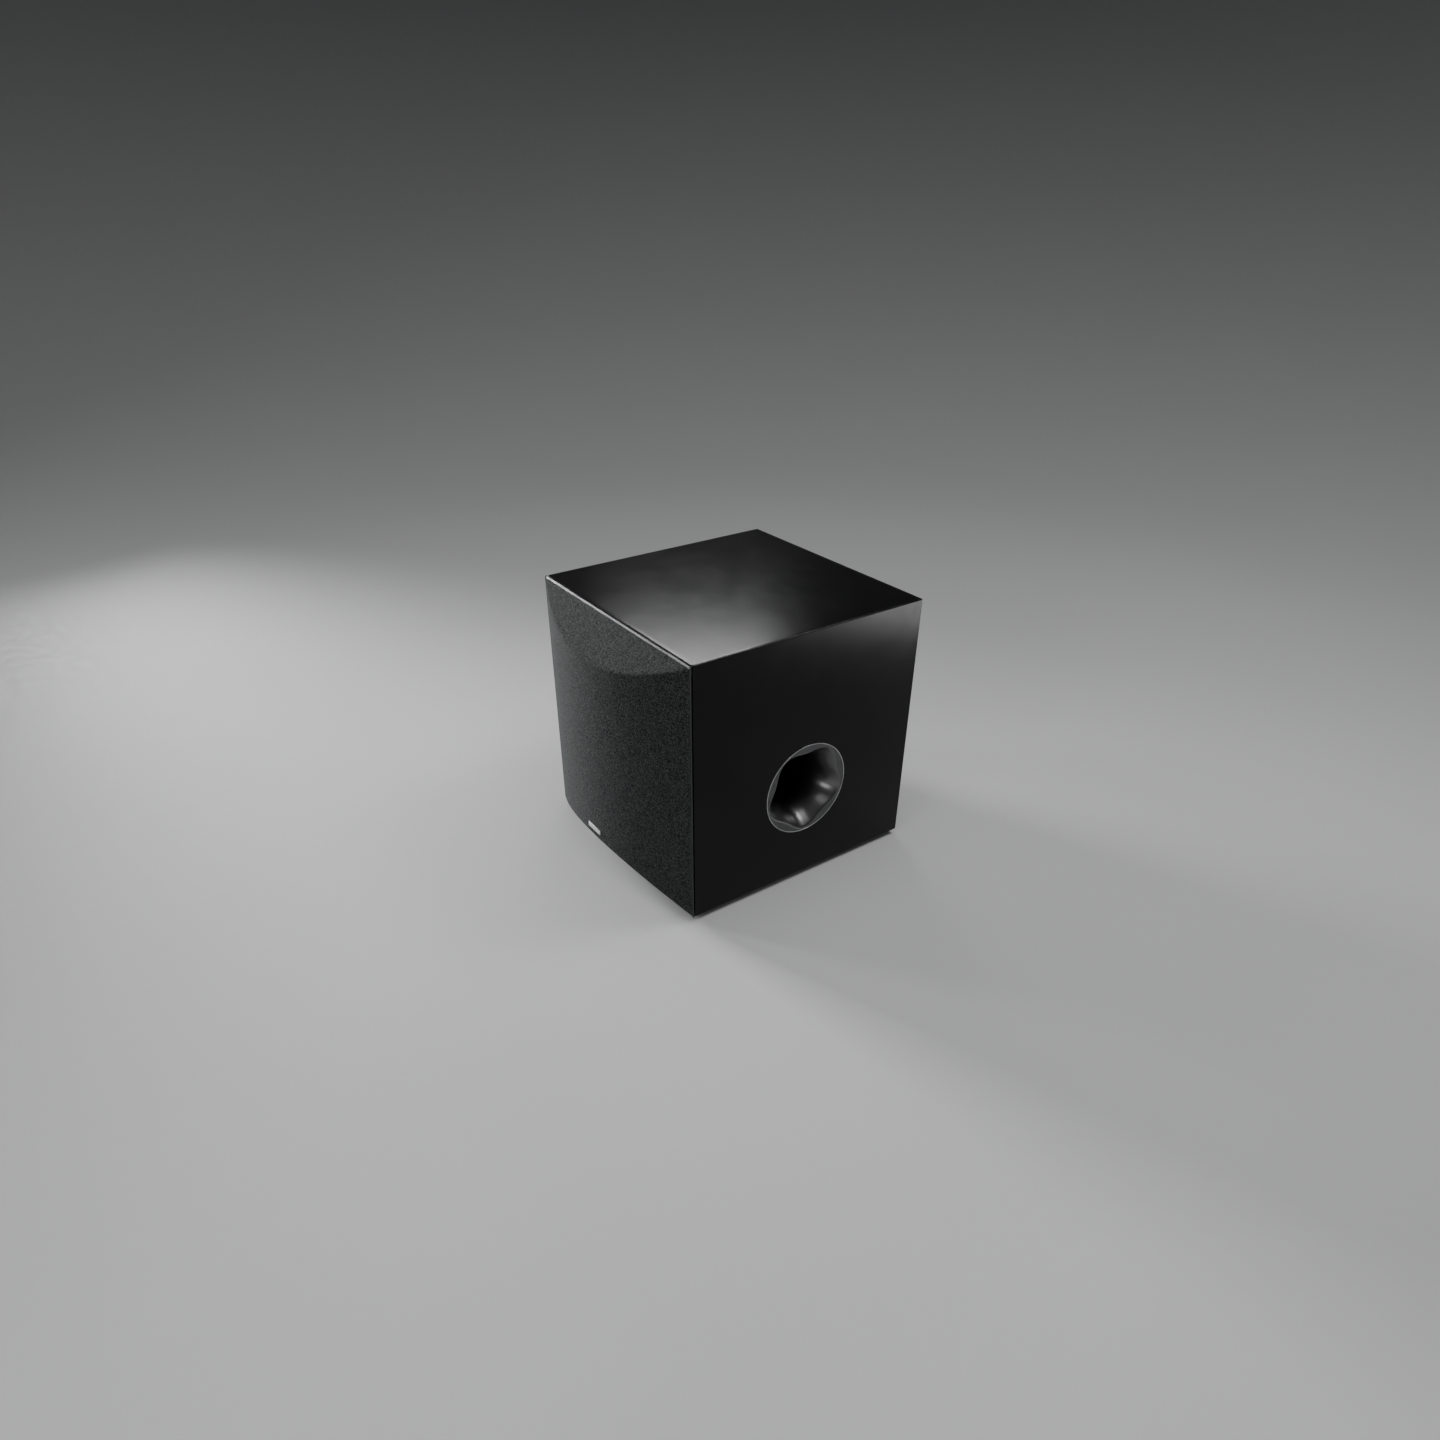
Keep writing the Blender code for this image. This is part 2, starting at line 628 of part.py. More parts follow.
def speaker_terminals():
    """Two pairs of sprung levers in one housing; returns the opening that the plate needs."""
    at = (TERMINAL_X, PLATE_FACE, TERMINAL_Z)
    half_x, half_z = 20.0, 33.0
    housing = box(
        "speaker_terminal_housing", (-half_x, GAP, -half_z), (half_x, 6.5, half_z), "black_plastic", at
    )
    back = BOARD_BACK - PLATE_FACE
    low, high = (-half_x + 3, back, -half_z + 3), (half_x - 3, 5, half_z - 3)
    join(housing, box("terminal_housing_body", low, high, None, at))
    wide, deep, tall = LEVER_SIZE
    for up, level in ((-1, "low"), (1, "high")):
        for across, colour in ((-1, "red"), (1, "black")):
            spot = (across * LEVER_PITCH_X / 2, up * LEVER_PITCH_Z / 2)
            name = f"terminal_lever_{level}_{colour}"
            cut(
                housing,
                box(
                    f"cut_{name}_well",
                    (spot[0] - wide / 2 - 0.6, -7, spot[1] - tall / 2 - 4),
                    (spot[0] + wide / 2 + 0.6, 9, spot[1] + tall / 2 + 0.6),
                    None, at,
                ),
            )
            hinge = (at[0] + spot[0], at[1] + 1.5, at[2] + spot[1] + tall / 2 - 3)
            outline = [(-2.5, 2.4), (8.5, 2.4), (deep, -6), (deep, -9)]
            outline += [(9.5, -10), (2, -12), (-2.5, -12)]
            lever = side_prism(name, outline, -wide / 2, wide / 2, f"{colour}_plastic", hinge)
            hole_at = (hinge[0], hinge[1], hinge[2] - 8.2)
            cut(lever, rod(f"cut_{name}_wire_hole", 1.6, -10, 20, None, hole_at, "Y", 12))
    low, high = (-half_x + 2.7, -10, -half_z + 2.7), (half_x - 2.7, 10, half_z - 2.7)
    return box("cut_terminal_hole", low, high, None, at)


def input_jacks():
    """Two phono jacks in one insulating block; returns the holes that the plate needs."""
    block = box(
        "input_jack_block",
        (JACK_X - 19, BOARD_BACK, JACK_Z - 9),
        (JACK_X + 19, PLATE_INNER - GAP, JACK_Z + 9),
        "black_plastic",
    )
    holes = []
    for across, side in ((-1, "left"), (1, "right")):
        at = (JACK_X + across * JACK_PITCH / 2, PLATE_FACE, JACK_Z)
        bore = 1.8
        profile = [
            (bore, 9), (4.1, 9), (4.1, 1.2), (6.2, 1.2), (6.2, GAP), (4.6, GAP), (4.6, -9), (bore, -9),
        ]
        turned(f"input_jack_{side}", profile, "nickel", at, steps=16)
        cut(block, rod(f"cut_jack_{side}_seat", 4.6 + GAP, -9.5, 0, None, at))
        holes.append(rod(f"cut_jack_{side}_hole", 4.6 + GAP, -PLATE_THICK - 2, 2, None, at))
    return holes


def mains_parts():
    """The three-pin inlet and the tilting power switch; returns the plate's two openings."""
    at = (INLET_X, PLATE_FACE, MAINS_Z)
    inlet = box("mains_inlet", (-20, GAP, -14), (20, 3, 14), "black_plastic", at)
    join(inlet, box("inlet_body", (-14.5, -21, -10.5), (14.5, 2, 10.5), None, at))
    cut(inlet, box("cut_inlet_recess", (-12.4, -17, -8.2), (12.4, 8, 8.2), None, at))
    for x, z, pin in ((-7, -1.5, "left"), (0, 2.5, "earth"), (7, -1.5, "right")):
        join(inlet, box(f"inlet_pin_{pin}", (x - 1, -19, z - 2), (x + 1, -3, z + 2), None, at))
    inlet_hole = box("cut_inlet_hole", (-14.8, -8, -10.8), (14.8, 4, 10.8), None, at)

    spot = (ROCKER_X, PLATE_FACE, MAINS_Z)
    housing = box("power_switch_housing", (-10, GAP, -15.5), (10, 2.5, 15.5), "black_plastic", spot)
    join(housing, box("switch_body", (-8.4, -18, -13.5), (8.4, 1.5, 13.5), None, spot))
    cut(housing, box("cut_switch_well", (-6.9, -14, -12), (6.9, 8, 12), None, spot))
    rocker_hole = box("cut_switch_hole", (-8.7, -8, -13.8), (8.7, 4, 13.8), None, spot)
    hinge = (ROCKER_X, PLATE_FACE - 3.0, MAINS_Z)
    arc = [math.radians(a) for a in (-60, -30, 0, 30, 60)]
    outline = [(7.6, -10.6), (5.9, 0), (7.6, 10.6), (1, 11.2)]
    outline += [(-9.0 * math.cos(a), 9.0 * math.sin(a)) for a in reversed(arc)]
    outline += [(1, -11.2)]
    rocker = side_prism("power_rocker", outline, -6.5, 6.5, "black_plastic", hinge)
    rocker.rotation_euler = (math.radians(ROCKER_TILT), 0, 0)
    return [inlet_hole, rocker_hole]


def inner_electronics():
    box("circuit_board", (-98, BOARD_Y, 150), (58, BOARD_Y + BOARD_THICK, 308), "circuit_green")
    front = BOARD_Y - GAP
    for x, side in ((-70, "left"), (-30, "right")):
        rod(f"capacitor_{side}", 15, front - 40, front, "capacitor_sleeve", (x, 0, 270))

    left, right, low, high = 74.0, 98.0, 195.0, 305.0
    fin_thick, fins = 2.0, 5
    back = PLATE_INNER - GAP
    sink = box("heat_sink", (left, back - 6, low), (right, back, high), "aluminium")
    for i in range(fins):
        x = left + (right - left - fin_thick) * i / (fins - 1)
        fin = box(f"fin_{i + 1}", (x, PLATE_INNER - 44, low), (x + fin_thick, PLATE_INNER - 4, high))
        join(sink, fin)


def transformer():
    """A laminated core whose middle leg runs through the winding."""
    front, back = 126.0, PLATE_INNER - GAP
    yoke, leg, leg_low = 14.0, 12.0, 87.0
    core = box("transformer_core", (-36, front + yoke, 63), (36, back - yoke, 123), "iron_core")
    for z, level in ((leg_low - leg, "low"), (leg_low + leg, "high")):
        cut(core, box(f"cut_core_window_{level}", (-24, front - 6, z), (24, back + 15, z + leg)))
    winding = box(
        "transformer_winding", (-23.5, front, 75.3), (23.5, back - GAP, 110.7), "tape_yellow"
    )
    low = (-24.5, front + yoke - GAP, leg_low - GAP)
    high = (24.5, back - yoke + GAP, leg_low + leg + GAP)
    cut(winding, box("cut_winding_bore", low, high))


def amplifier():
    plate = box(
        "amp_plate",
        (-PLATE_HALF_WIDTH, PLATE_INNER, PLATE_LOW),
        (PLATE_HALF_WIDTH, PLATE_FACE, PLATE_HIGH),
        "painted_steel",
    )
    cut(plate, knob("volume", -KNOB_X), knob("high_cut", KNOB_X))
    cut(plate, slide_switch("phase", -SWITCH_X, 4.0), slide_switch("bass_mode", 0.0, 4.0))
    cut(plate, slide_switch("auto_standby", SWITCH_X, 6.0))
    cut(plate, speaker_terminals(), *input_jacks(), *mains_parts())
    inner_electronics()
    transformer()


def woofer_cable():
    """The lead from the circuit board to the woofer's terminal, held at both ends."""
    route = [
        (8, -80.2, 256), (8, -68, 258), (10, -40, 270), (14, 10, 290), (10, 60, 292),
        (0, 110, 280), (-8, 135, 250), (-10, 148, 236), (-10, BOARD_Y - GAP, 236),
    ]
    curve = bpy.data.curves.new("woofer_cable", "CURVE")
    curve.dimensions = "3D"
    curve.bevel_depth = 2.0 * MM
    curve.bevel_resolution = 2
    curve.use_fill_caps = True
    line = curve.splines.new("POLY")
    points = smooth_route([Vector(p) for p in route], 4)
    line.points.add(len(points) - 1)
    for spline_point, point in zip(line.points, points):
        spline_point.co = (*(point * MM), 1.0)
    obj = bpy.data.objects.new("woofer_cable", curve)
    curve.materials.append(material("black_plastic"))
    bpy.context.scene.collection.objects.link(obj)


def smooth_route(route, per_span):
    """Points of the Catmull-Rom curve through the route's own points."""
    padded = [2 * route[0] - route[1]] + route + [2 * route[-1] - route[-2]]
    points = []
    for a, b, c, d in zip(padded, padded[1:], padded[2:], padded[3:]):
        for i in range(per_span):
            t = i / per_span
            squared = (2 * a - 5 * b + 4 * c - d) * t**2
            cubed = (3 * b - a - 3 * c + d) * t**3
            points.append((2 * b + (c - a) * t + squared + cubed) / 2)
    return points + [route[-1]]


clear_scene()
cabinet()
feet()
port()
woofer()
grille()
amplifier()
woofer_cable()
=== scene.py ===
"""Looks of the powered subwoofer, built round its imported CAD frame.

Sizes are in millimetres and become metres in place(). Places are read from the CAD nodes' boxes.
"""

import math

import bmesh
import bpy
from mathutils import Matrix, Vector, noise


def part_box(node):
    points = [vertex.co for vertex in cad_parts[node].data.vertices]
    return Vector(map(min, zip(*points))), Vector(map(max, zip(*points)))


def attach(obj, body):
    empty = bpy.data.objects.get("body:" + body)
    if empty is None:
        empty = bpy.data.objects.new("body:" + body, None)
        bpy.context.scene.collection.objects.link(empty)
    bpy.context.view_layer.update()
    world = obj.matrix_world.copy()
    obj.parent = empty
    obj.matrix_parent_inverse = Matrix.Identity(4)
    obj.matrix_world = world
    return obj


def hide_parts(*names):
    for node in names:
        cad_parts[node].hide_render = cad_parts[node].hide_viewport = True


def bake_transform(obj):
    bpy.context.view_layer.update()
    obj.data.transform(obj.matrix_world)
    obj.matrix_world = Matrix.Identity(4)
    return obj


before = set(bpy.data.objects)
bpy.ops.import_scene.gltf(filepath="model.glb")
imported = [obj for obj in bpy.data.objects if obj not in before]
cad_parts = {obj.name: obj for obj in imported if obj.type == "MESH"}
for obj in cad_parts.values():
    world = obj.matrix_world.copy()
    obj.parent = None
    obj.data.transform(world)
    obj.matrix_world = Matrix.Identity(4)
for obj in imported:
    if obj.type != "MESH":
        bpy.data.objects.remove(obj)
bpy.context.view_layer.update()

MM = 0.001


def node_box(name):
    """Lowest and highest corner of a CAD node, in millimetres."""
    low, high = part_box(name)
    return low / MM, high / MM


def node_middle(name):
    low, high = node_box(name)
    return (low + high) / 2


# Driving places, all read from the frame
PANEL_LOW, PANEL_HIGH = node_box("top_panel")
Y_FRONT, Y_BACK = PANEL_LOW.y, PANEL_HIGH.y
HALF_WIDTH, Z_TOP = PANEL_HIGH.x, PANEL_HIGH.z
Z_BASE = node_box("bottom_panel")[0].z
Z_MID = (Z_BASE + Z_TOP) / 2
HALF_HEIGHT = (Z_TOP - Z_BASE) / 2
GAP = 0.3  # between neighbouring CAD solids
WALL = HALF_WIDTH - node_box("front_baffle")[1].x - GAP
BAFFLE_FACE = node_box("front_baffle")[0].y
PLATE_FACE = node_box("amp_plate")[1].y
PORT_LOW, PORT_HIGH = node_box("port_flare")
PORT_Y, PORT_Z = (PORT_LOW.y + PORT_HIGH.y) / 2, (PORT_LOW.z + PORT_HIGH.z) / 2
PORT_FLANGE = (PORT_HIGH.y - PORT_LOW.y) / 2
PORT_LENGTH = PORT_HIGH.x - PORT_LOW.x
SKIN = 0.25  # how far the vinyl stands over the board
EDGE = 1.2  # rounding of the cabinet's edges
QUARTER_TURN = [math.radians(15 * i) for i in range(7)]


# Materials


class Finish:
    """A procedural material, put together step by step on one Principled shader."""

    def __init__(self, name, colour, roughness, metallic=0.0, **sockets):
        self.made = bpy.data.materials.new(name)
        self.made.use_nodes = True
        self.tree = self.made.node_tree
        self.shader = self.tree.nodes["Principled BSDF"]
        self.shader.inputs["Base Color"].default_value = (*colour, 1.0)
        self.shader.inputs["Roughness"].default_value = roughness
        self.shader.inputs["Metallic"].default_value = metallic
        for socket, value in sockets.items():
            self.shader.inputs[socket.replace("_", " ")].default_value = value
        self.where = self.node("ShaderNodeTexCoord").outputs["Object"]
        self.normal = None

    def node(self, kind, inputs=None, **settings):
        made = self.tree.nodes.new(kind)
        for key, value in settings.items():
            setattr(made, key, value)
        for key, value in (inputs or {}).items():
            if isinstance(value, bpy.types.NodeSocket):
                self.tree.links.new(value, made.inputs[key])
            else:
                made.inputs[key].default_value = value
        return made

    def math(self, operation, a, b=0.0):
        return self.node("ShaderNodeMath", {0: a, 1: b}, operation=operation).outputs[0]

    def stretched(self, stretch):
        if stretch == (1, 1, 1):
            return self.where
        scaled = self.node("ShaderNodeVectorMath", {0: self.where, 1: stretch}, operation="MULTIPLY")
        return scaled.outputs[0]

    def noise(self, size, detail=2.0, stretch=(1, 1, 1)):
        """Noise with features `size` millimetres across."""
        inputs = {"Vector": self.stretched(stretch), "Scale": 1 / (size * MM), "Detail": detail}
        return self.node("ShaderNodeTexNoise", inputs).outputs["Fac"]

    def cells(self, size, stretch=(1, 1, 1)):
        """Distance to scattered points `size` millimetres apart."""
        inputs = {"Vector": self.stretched(stretch), "Scale": 1 / (size * MM)}
        return self.node("ShaderNodeTexVoronoi", inputs).outputs["Distance"]

    def flecks(self, size, stretch=(1, 1, 1)):
        """Patches `size` millimetres across, each with its own even value."""
        inputs = {"Vector": self.stretched(stretch), "Scale": 1 / (size * MM)}
        made = self.node("ShaderNodeTexVoronoi", inputs).outputs["Color"]
        return self.node("ShaderNodeSeparateColor", {0: made}).outputs[0]

    def bands(self, size, axis="Z", distortion=0.0):
        inputs = {
            "Vector": self.where, "Scale": 1 / (size * MM) / 3.183, "Distortion": distortion,
        }
        return self.node("ShaderNodeTexWave", inputs, bands_direction=axis).outputs["Fac"]

    def ranged(self, value, low, high, start=0.35, end=0.65):
        inputs = {"Value": value, "From Min": start, "From Max": end, "To Min": low, "To Max": high}
        return self.node("ShaderNodeMapRange", inputs).outputs["Result"]

    def mix(self, factor, a, b):
        made = self.node("ShaderNodeMix", data_type="RGBA")
        for index, value in ((0, factor), (6, a), (7, b)):
            if isinstance(value, bpy.types.NodeSocket):
                self.tree.links.new(value, made.inputs[index])
            else:
                made.inputs[index].default_value = value if index == 0 else (*value, 1.0)
        return made.outputs[2]

    def colour(self, socket):
        self.tree.links.new(socket, self.shader.inputs["Base Color"])

    def tones(self, pattern, dark, light, start=0.35, end=0.65):
        self.colour(self.mix(self.ranged(pattern, 0.0, 1.0, start, end), dark, light))

    def rough(self, pattern, low, high, start=0.35, end=0.65):
        result = self.ranged(pattern, low, high, start, end)
        self.tree.links.new(result, self.shader.inputs["Roughness"])

    def relief(self, pattern, height):
        """Raises the surface by the pattern, `height` millimetres from 0 to 1."""
        inputs = {"Height": pattern, "Distance": height * MM, "Strength": 1.0}
        if self.normal:
            inputs["Normal"] = self.normal
        self.normal = self.node("ShaderNodeBump", inputs).outputs["Normal"]
        self.tree.links.new(self.normal, self.shader.inputs["Normal"])


def moulded(name, colour, roughness, grain=0.5, height=0.02, **sockets):
    """Moulded plastic or rubber: a fine spark-eroded grain with faint mottling."""
    made = Finish(name, colour, roughness, **sockets)
    made.tones(made.noise(18.0), [c * 0.85 for c in colour], [c * 1.2 for c in colour])
    made.rough(made.noise(4.0, 3.0), roughness - 0.06, roughness + 0.08)
    made.relief(made.noise(grain, 3.0), height)
    return made


def metal(name, colour, roughness, stretch=(1, 1, 30), size=0.4):
    """Drawn or brushed metal: fine lines along the most stretched axis and soft tarnish."""
    made = Finish(name, colour, roughness, 1.0)
    lines = made.noise(size * 30, 3.0, [30 / s for s in stretch])
    made.tones(made.noise(6.0, 3.0), [c * 0.8 for c in colour], colour)
    made.rough(lines, roughness - 0.08, roughness + 0.12)
    made.relief(lines, 0.004)
    return made


def vinyl():
    """Black satin vinyl with a fine pebbled grain, rubbed paler along the edges."""
    made = Finish("vinyl_skin", (0.004, 0.004, 0.0045), 0.215, Specular_IOR_Level=0.2)
    rubbed = made.node("ShaderNodeAttribute", attribute_name="edge_wear").outputs["Fac"]
    patchy = made.ranged(made.noise(7.0, 5.0), 0.0, 0.55, 0.45, 0.7)
    mottled = made.ranged(made.noise(60.0, 4.0), 0.0, 1.0)
    body = made.mix(mottled, (0.0028, 0.0028, 0.0031), (0.0042, 0.0042, 0.0047))
    made.colour(made.mix(made.math("MULTIPLY", rubbed, patchy), body, (0.03, 0.03, 0.032)))
    made.rough(made.noise(25.0, 4.0), 0.2, 0.23)
    made.relief(made.cells(0.95), 0.02)
    made.relief(made.noise(0.45, 2.0), 0.006)
    return made


def board(name, dark, light, sealed=False):
    """Fibreboard: matted fibres with scattered darker flakes."""
    made = Finish(name, light, 0.7 if sealed else 0.88)
    flakes = made.noise(1.4, 6.0, (1, 1, 2.5))
    made.tones(flakes, dark, light, 0.3, 0.7)
    made.rough(made.noise(3.0), 0.6 if sealed else 0.8, 0.78 if sealed else 0.95)
    made.relief(flakes, 0.05)
    return made


def cloth():
    """Open speaker knit: a plain weave of heathered light and dark yarn, with holes painted near-black for
    the black parts behind the knit and as painted shade.
    """
    made = Finish("grille_knit", (0.03, 0.033, 0.031), 0.9, Sheen_Weight=0.1, Sheen_Roughness=0.35,
                  Sheen_Tint=(0.62, 0.7, 0.68, 1.0), Specular_IOR_Level=0.2)
    flat = made.node("ShaderNodeUVMap", uv_map="cloth").outputs["UV"]
    pitch, fleck, narrow, long = 1.15 * MM, 0.95, 1.4, 0.6
    parts = made.node("ShaderNodeSeparateXYZ", {0: flat}).outputs
    turns = math.tau / (2 * pitch)
    waves = [made.math("SINE", made.math("MULTIPLY", parts[i], turns)) for i in (0, 1)]
    woven = made.ranged(made.math("MULTIPLY", *waves), 0.0, 1.0, -1.0, 1.0)
    across = [made.math("ABSOLUTE", wave) for wave in waves]
    closed = made.ranged(made.math("MULTIPLY", *across), 1.0, 0.0, 0.72, 0.98)
    made.where = flat
    warp = made.math("MULTIPLY", made.flecks(fleck, (narrow, long, 1.0)), 0.5)
    weft = made.math("MULTIPLY", made.flecks(fleck, (long, narrow, 1.0)), 0.5)
    bright = made.mix(
        made.ranged(made.math("ADD", warp, weft), 0.0, 1.0, 0.3, 0.8),
        (0.0025, 0.0029, 0.0028), (0.068, 0.075, 0.0745),
    )
    # Holes painted near-black: partly the black parts behind the knit, partly painted shade behind it.
    made.colour(made.mix(closed, (0.002, 0.002, 0.002), bright))
    made.rough(made.noise(1.2, 1.0), 0.8, 1.0)
    made.relief(woven, 0.12)
    return made


def port_gloss():
    made = Finish("port_gloss", (0.012, 0.012, 0.013), 0.33, Specular_IOR_Level=0.8, IOR=1.8,
                  Coat_Weight=0.35, Coat_Roughness=0.2)
    made.tones(made.noise(30.0), (0.010, 0.010, 0.011), (0.016, 0.016, 0.017))
    made.rough(made.noise(9.0, 3.0), 0.31, 0.35)
    made.relief(made.noise(14.0, 1.0), 0.004)
    return made


def port_satin():
    made = Finish("port_satin", (0.06, 0.062, 0.064), 0.36, Specular_IOR_Level=0.6)
    made.tones(made.noise(9.0, 4.0), (0.05, 0.052, 0.054), (0.072, 0.074, 0.076))
    made.rough(made.noise(1.2, 3.0), 0.3, 0.46)
    made.relief(made.noise(0.3, 2.0), 0.012)
    return made


def powder_coat():
    made = Finish("powder_coat", (0.022, 0.022, 0.023), 0.5, Specular_IOR_Level=0.5)
    made.tones(made.noise(24.0, 3.0), (0.017, 0.017, 0.018), (0.028, 0.028, 0.029))
    made.rough(made.noise(1.5, 3.0), 0.42, 0.6)
    made.relief(made.noise(0.9, 3.0), 0.07)
    return made


def cone_pulp():
    made = Finish("cone_pulp", (0.028, 0.028, 0.03), 0.62, Sheen_Weight=0.12, Sheen_Roughness=0.5)
    fibres = made.noise(1.1, 6.0)
    made.tones(fibres, (0.014, 0.014, 0.015), (0.05, 0.05, 0.053))
    made.rough(made.noise(2.5, 4.0), 0.5, 0.74)
    made.relief(fibres, 0.09)
    return made


def winding_wire():
    made = Finish("winding_wire", (0.6, 0.25, 0.12), 0.3, 1.0)
    turns = made.bands(0.5, "Y")
    # The dark and light bands are painted shade in the grooves between the round turns and painted highlight
    # on them.
    made.tones(turns, (0.3, 0.1, 0.05), (0.75, 0.34, 0.18), 0.0, 1.0)
    made.rough(made.noise(2.0), 0.25, 0.4)
    made.relief(turns, 0.08)
    return made


def woven_disc():
    """The spider's resin-stiffened cotton."""
    made = Finish("spider_cotton", (0.45, 0.33, 0.13), 0.85, Sheen_Weight=0.2)
    warp, weft = made.bands(0.8, "X"), made.bands(0.8, "Z")
    weave = made.math("MULTIPLY", warp, weft)
    made.tones(weave, (0.26, 0.17, 0.06), (0.55, 0.41, 0.18), 0.0, 1.0)
    made.rough(made.noise(3.0), 0.75, 0.95)
    made.relief(weave, 0.15)
    return made


def wadding():
    made = Finish("wadding", (0.42, 0.42, 0.4), 0.97, Sheen_Weight=0.4, Sheen_Roughness=0.6)
    strands = made.noise(1.6, 8.0, (1, 1.8, 1))
    made.tones(strands, (0.2, 0.2, 0.19), (0.6, 0.6, 0.57))
    made.rough(strands, 0.9, 1.0)
    made.relief(strands, 0.35)
    return made


def laminate():
    """Circuit board: solder mask over a faint woven glass and a scatter of copper tracks."""
    made = Finish("laminate", (0.02, 0.13, 0.06), 0.35, Specular_IOR_Level=0.6)
    tracks = made.cells(7.0, (1.0, 1.0, 0.4))
    made.tones(tracks, (0.012, 0.09, 0.04), (0.03, 0.2, 0.09), 0.4, 0.46)
    made.rough(made.noise(3.0), 0.28, 0.45)
    made.relief(made.bands(1.2, "X"), 0.01)
    return made


def stacked_steel():
    made = Finish("stacked_steel", (0.1, 0.1, 0.105), 0.5, 0.8)
    sheets = made.bands(0.5, "Y")
    made.tones(sheets, (0.05, 0.05, 0.052), (0.16, 0.16, 0.165), 0.0, 1.0)
    made.rough(made.noise(2.0), 0.4, 0.6)
    made.relief(sheets, 0.05)
    return made


def sleeve_film():
    made = Finish("sleeve_film", (0.02, 0.04, 0.12), 0.32, Coat_Weight=0.2)
    made.tones(made.noise(12.0), (0.016, 0.03, 0.1), (0.03, 0.05, 0.15))
    made.rough(made.noise(2.0, 3.0), 0.26, 0.4)
    made.relief(made.noise(5.0, 2.0), 0.05)
    return made


def wrapped_tape():
    made = Finish("wrapped_tape", (0.62, 0.44, 0.06), 0.5)
    laps = made.bands(9.0, "Z", 0.6)
    made.tones(laps, (0.48, 0.33, 0.04), (0.7, 0.5, 0.08), 0.2, 0.9)
    made.rough(made.noise(2.0), 0.42, 0.6)
    made.relief(laps, 0.12)
    return made


def film():
    made = Finish("amber_film", (0.4, 0.17, 0.04), 0.3, Coat_Weight=0.2)
    made.tones(made.noise(8.0), (0.3, 0.12, 0.03), (0.48, 0.2, 0.05))
    made.rough(made.noise(2.0), 0.24, 0.38)
    made.relief(made.noise(1.0), 0.01)
    return made


finishes = {
    "black_vinyl": vinyl(),
    "bare_board": board("bare_fibreboard", (0.2, 0.13, 0.07), (0.42, 0.29, 0.17)),
    "black_board": board("stained_fibreboard", (0.012, 0.012, 0.012), (0.03, 0.03, 0.03), True),
    "felt": wadding(),
    "rubber": moulded("rubber", (0.02, 0.02, 0.02), 0.68, 0.8, 0.04),
    "port_plastic": port_gloss(),
    "frame_plastic": moulded("frame_plastic", (0.03, 0.031, 0.032), 0.42, 0.5, 0.02),
    "grille_cloth": cloth(),
    "badge_metal": metal("badge_metal", (0.93, 0.935, 0.94), 0.44, (30, 1, 1)),
    "painted_steel": powder_coat(),
    "cone_paper": cone_pulp(),
    "surround_rubber": moulded("surround_rubber", (0.014, 0.014, 0.014), 0.46, 1.2, 0.02),
    "kapton": film(),
    "copper": winding_wire(),
    "spider_cloth": woven_disc(),
    "plated_steel": metal("plated_steel", (0.56, 0.56, 0.55), 0.34, (1, 1, 1), 0.8),
    "ferrite": moulded("ferrite", (0.06, 0.06, 0.065), 0.72, 0.6, 0.06),
    "iron_core": stacked_steel(),
    "aluminium": metal("drawn_aluminium", (0.66, 0.67, 0.68), 0.36),
    "circuit_green": laminate(),
    "capacitor_sleeve": sleeve_film(),
    "tape_yellow": wrapped_tape(),
    "black_plastic": moulded("black_plastic", (0.018, 0.018, 0.018), 0.42, 0.45, 0.02),
    "red_plastic": moulded("red_plastic", (0.42, 0.016, 0.014), 0.4, 0.45, 0.02),
    "nickel": metal("nickel", (0.66, 0.64, 0.6), 0.24, (1, 1, 1), 0.5),
}
extra = {
    "port_satin": port_satin(),
    # The bead's pale grey is a painted highlight along the flange's rim.
    "port_bead_painted_highlight": moulded("port_bead_painted_highlight", (0.42, 0.425, 0.43), 0.22, 0.4, 0.004, Specular_IOR_Level=0.9),
    "screw_black": metal("blackened_steel", (0.09, 0.09, 0.095), 0.36, (1, 1, 1), 0.6),
    "white_plastic": moulded("white_plastic", (0.75, 0.75, 0.72), 0.42, 0.45, 0.02),
    "print_white": moulded("printed_white", (0.72, 0.73, 0.72), 0.6, 0.3, 0.005),
    "gasket_foam": moulded("gasket_foam", (0.02, 0.02, 0.021), 0.85, 0.7, 0.14),
}


# Mesh making


def finish_of(name):
    return (finishes.get(name) or extra[name]).made


def place(name, bm, finish, body, sharp=35.0):
    """Turns a bmesh in millimetres into a piece that rides on a body."""
    bmesh.ops.remove_doubles(bm, verts=bm.verts, dist=1e-4)
    bmesh.ops.recalc_face_normals(bm, faces=bm.faces)
    bmesh.ops.scale(bm, vec=(MM, MM, MM), verts=bm.verts)
    mesh = bpy.data.meshes.new(name)
    bm.to_mesh(mesh)
    bm.free()
    mesh.shade_smooth()
    mesh.set_sharp_from_angle(angle=math.radians(sharp))
    mesh.materials.append(finish_of(finish))
    obj = bpy.data.objects.new(name, mesh)
    bpy.context.scene.collection.objects.link(obj)
    if body:
        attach(obj, body)
    return obj


def loft(bm, rings, closed=False, around=True, capped=False):
    """Skins rings of points: closed joins the last ring to the first, around joins a ring's ends."""
    verts = [[bm.verts.new(p) for p in ring] for ring in rings]
    for near, far in zip(verts, verts[1:] + verts[:closed]):
        for i in range(0 if around else 1, len(near)):
            bm.faces.new((near[i - 1], near[i], far[i], far[i - 1]))
    if capped:
        bm.faces.new(verts[0])
        bm.faces.new(verts[-1])
    return verts


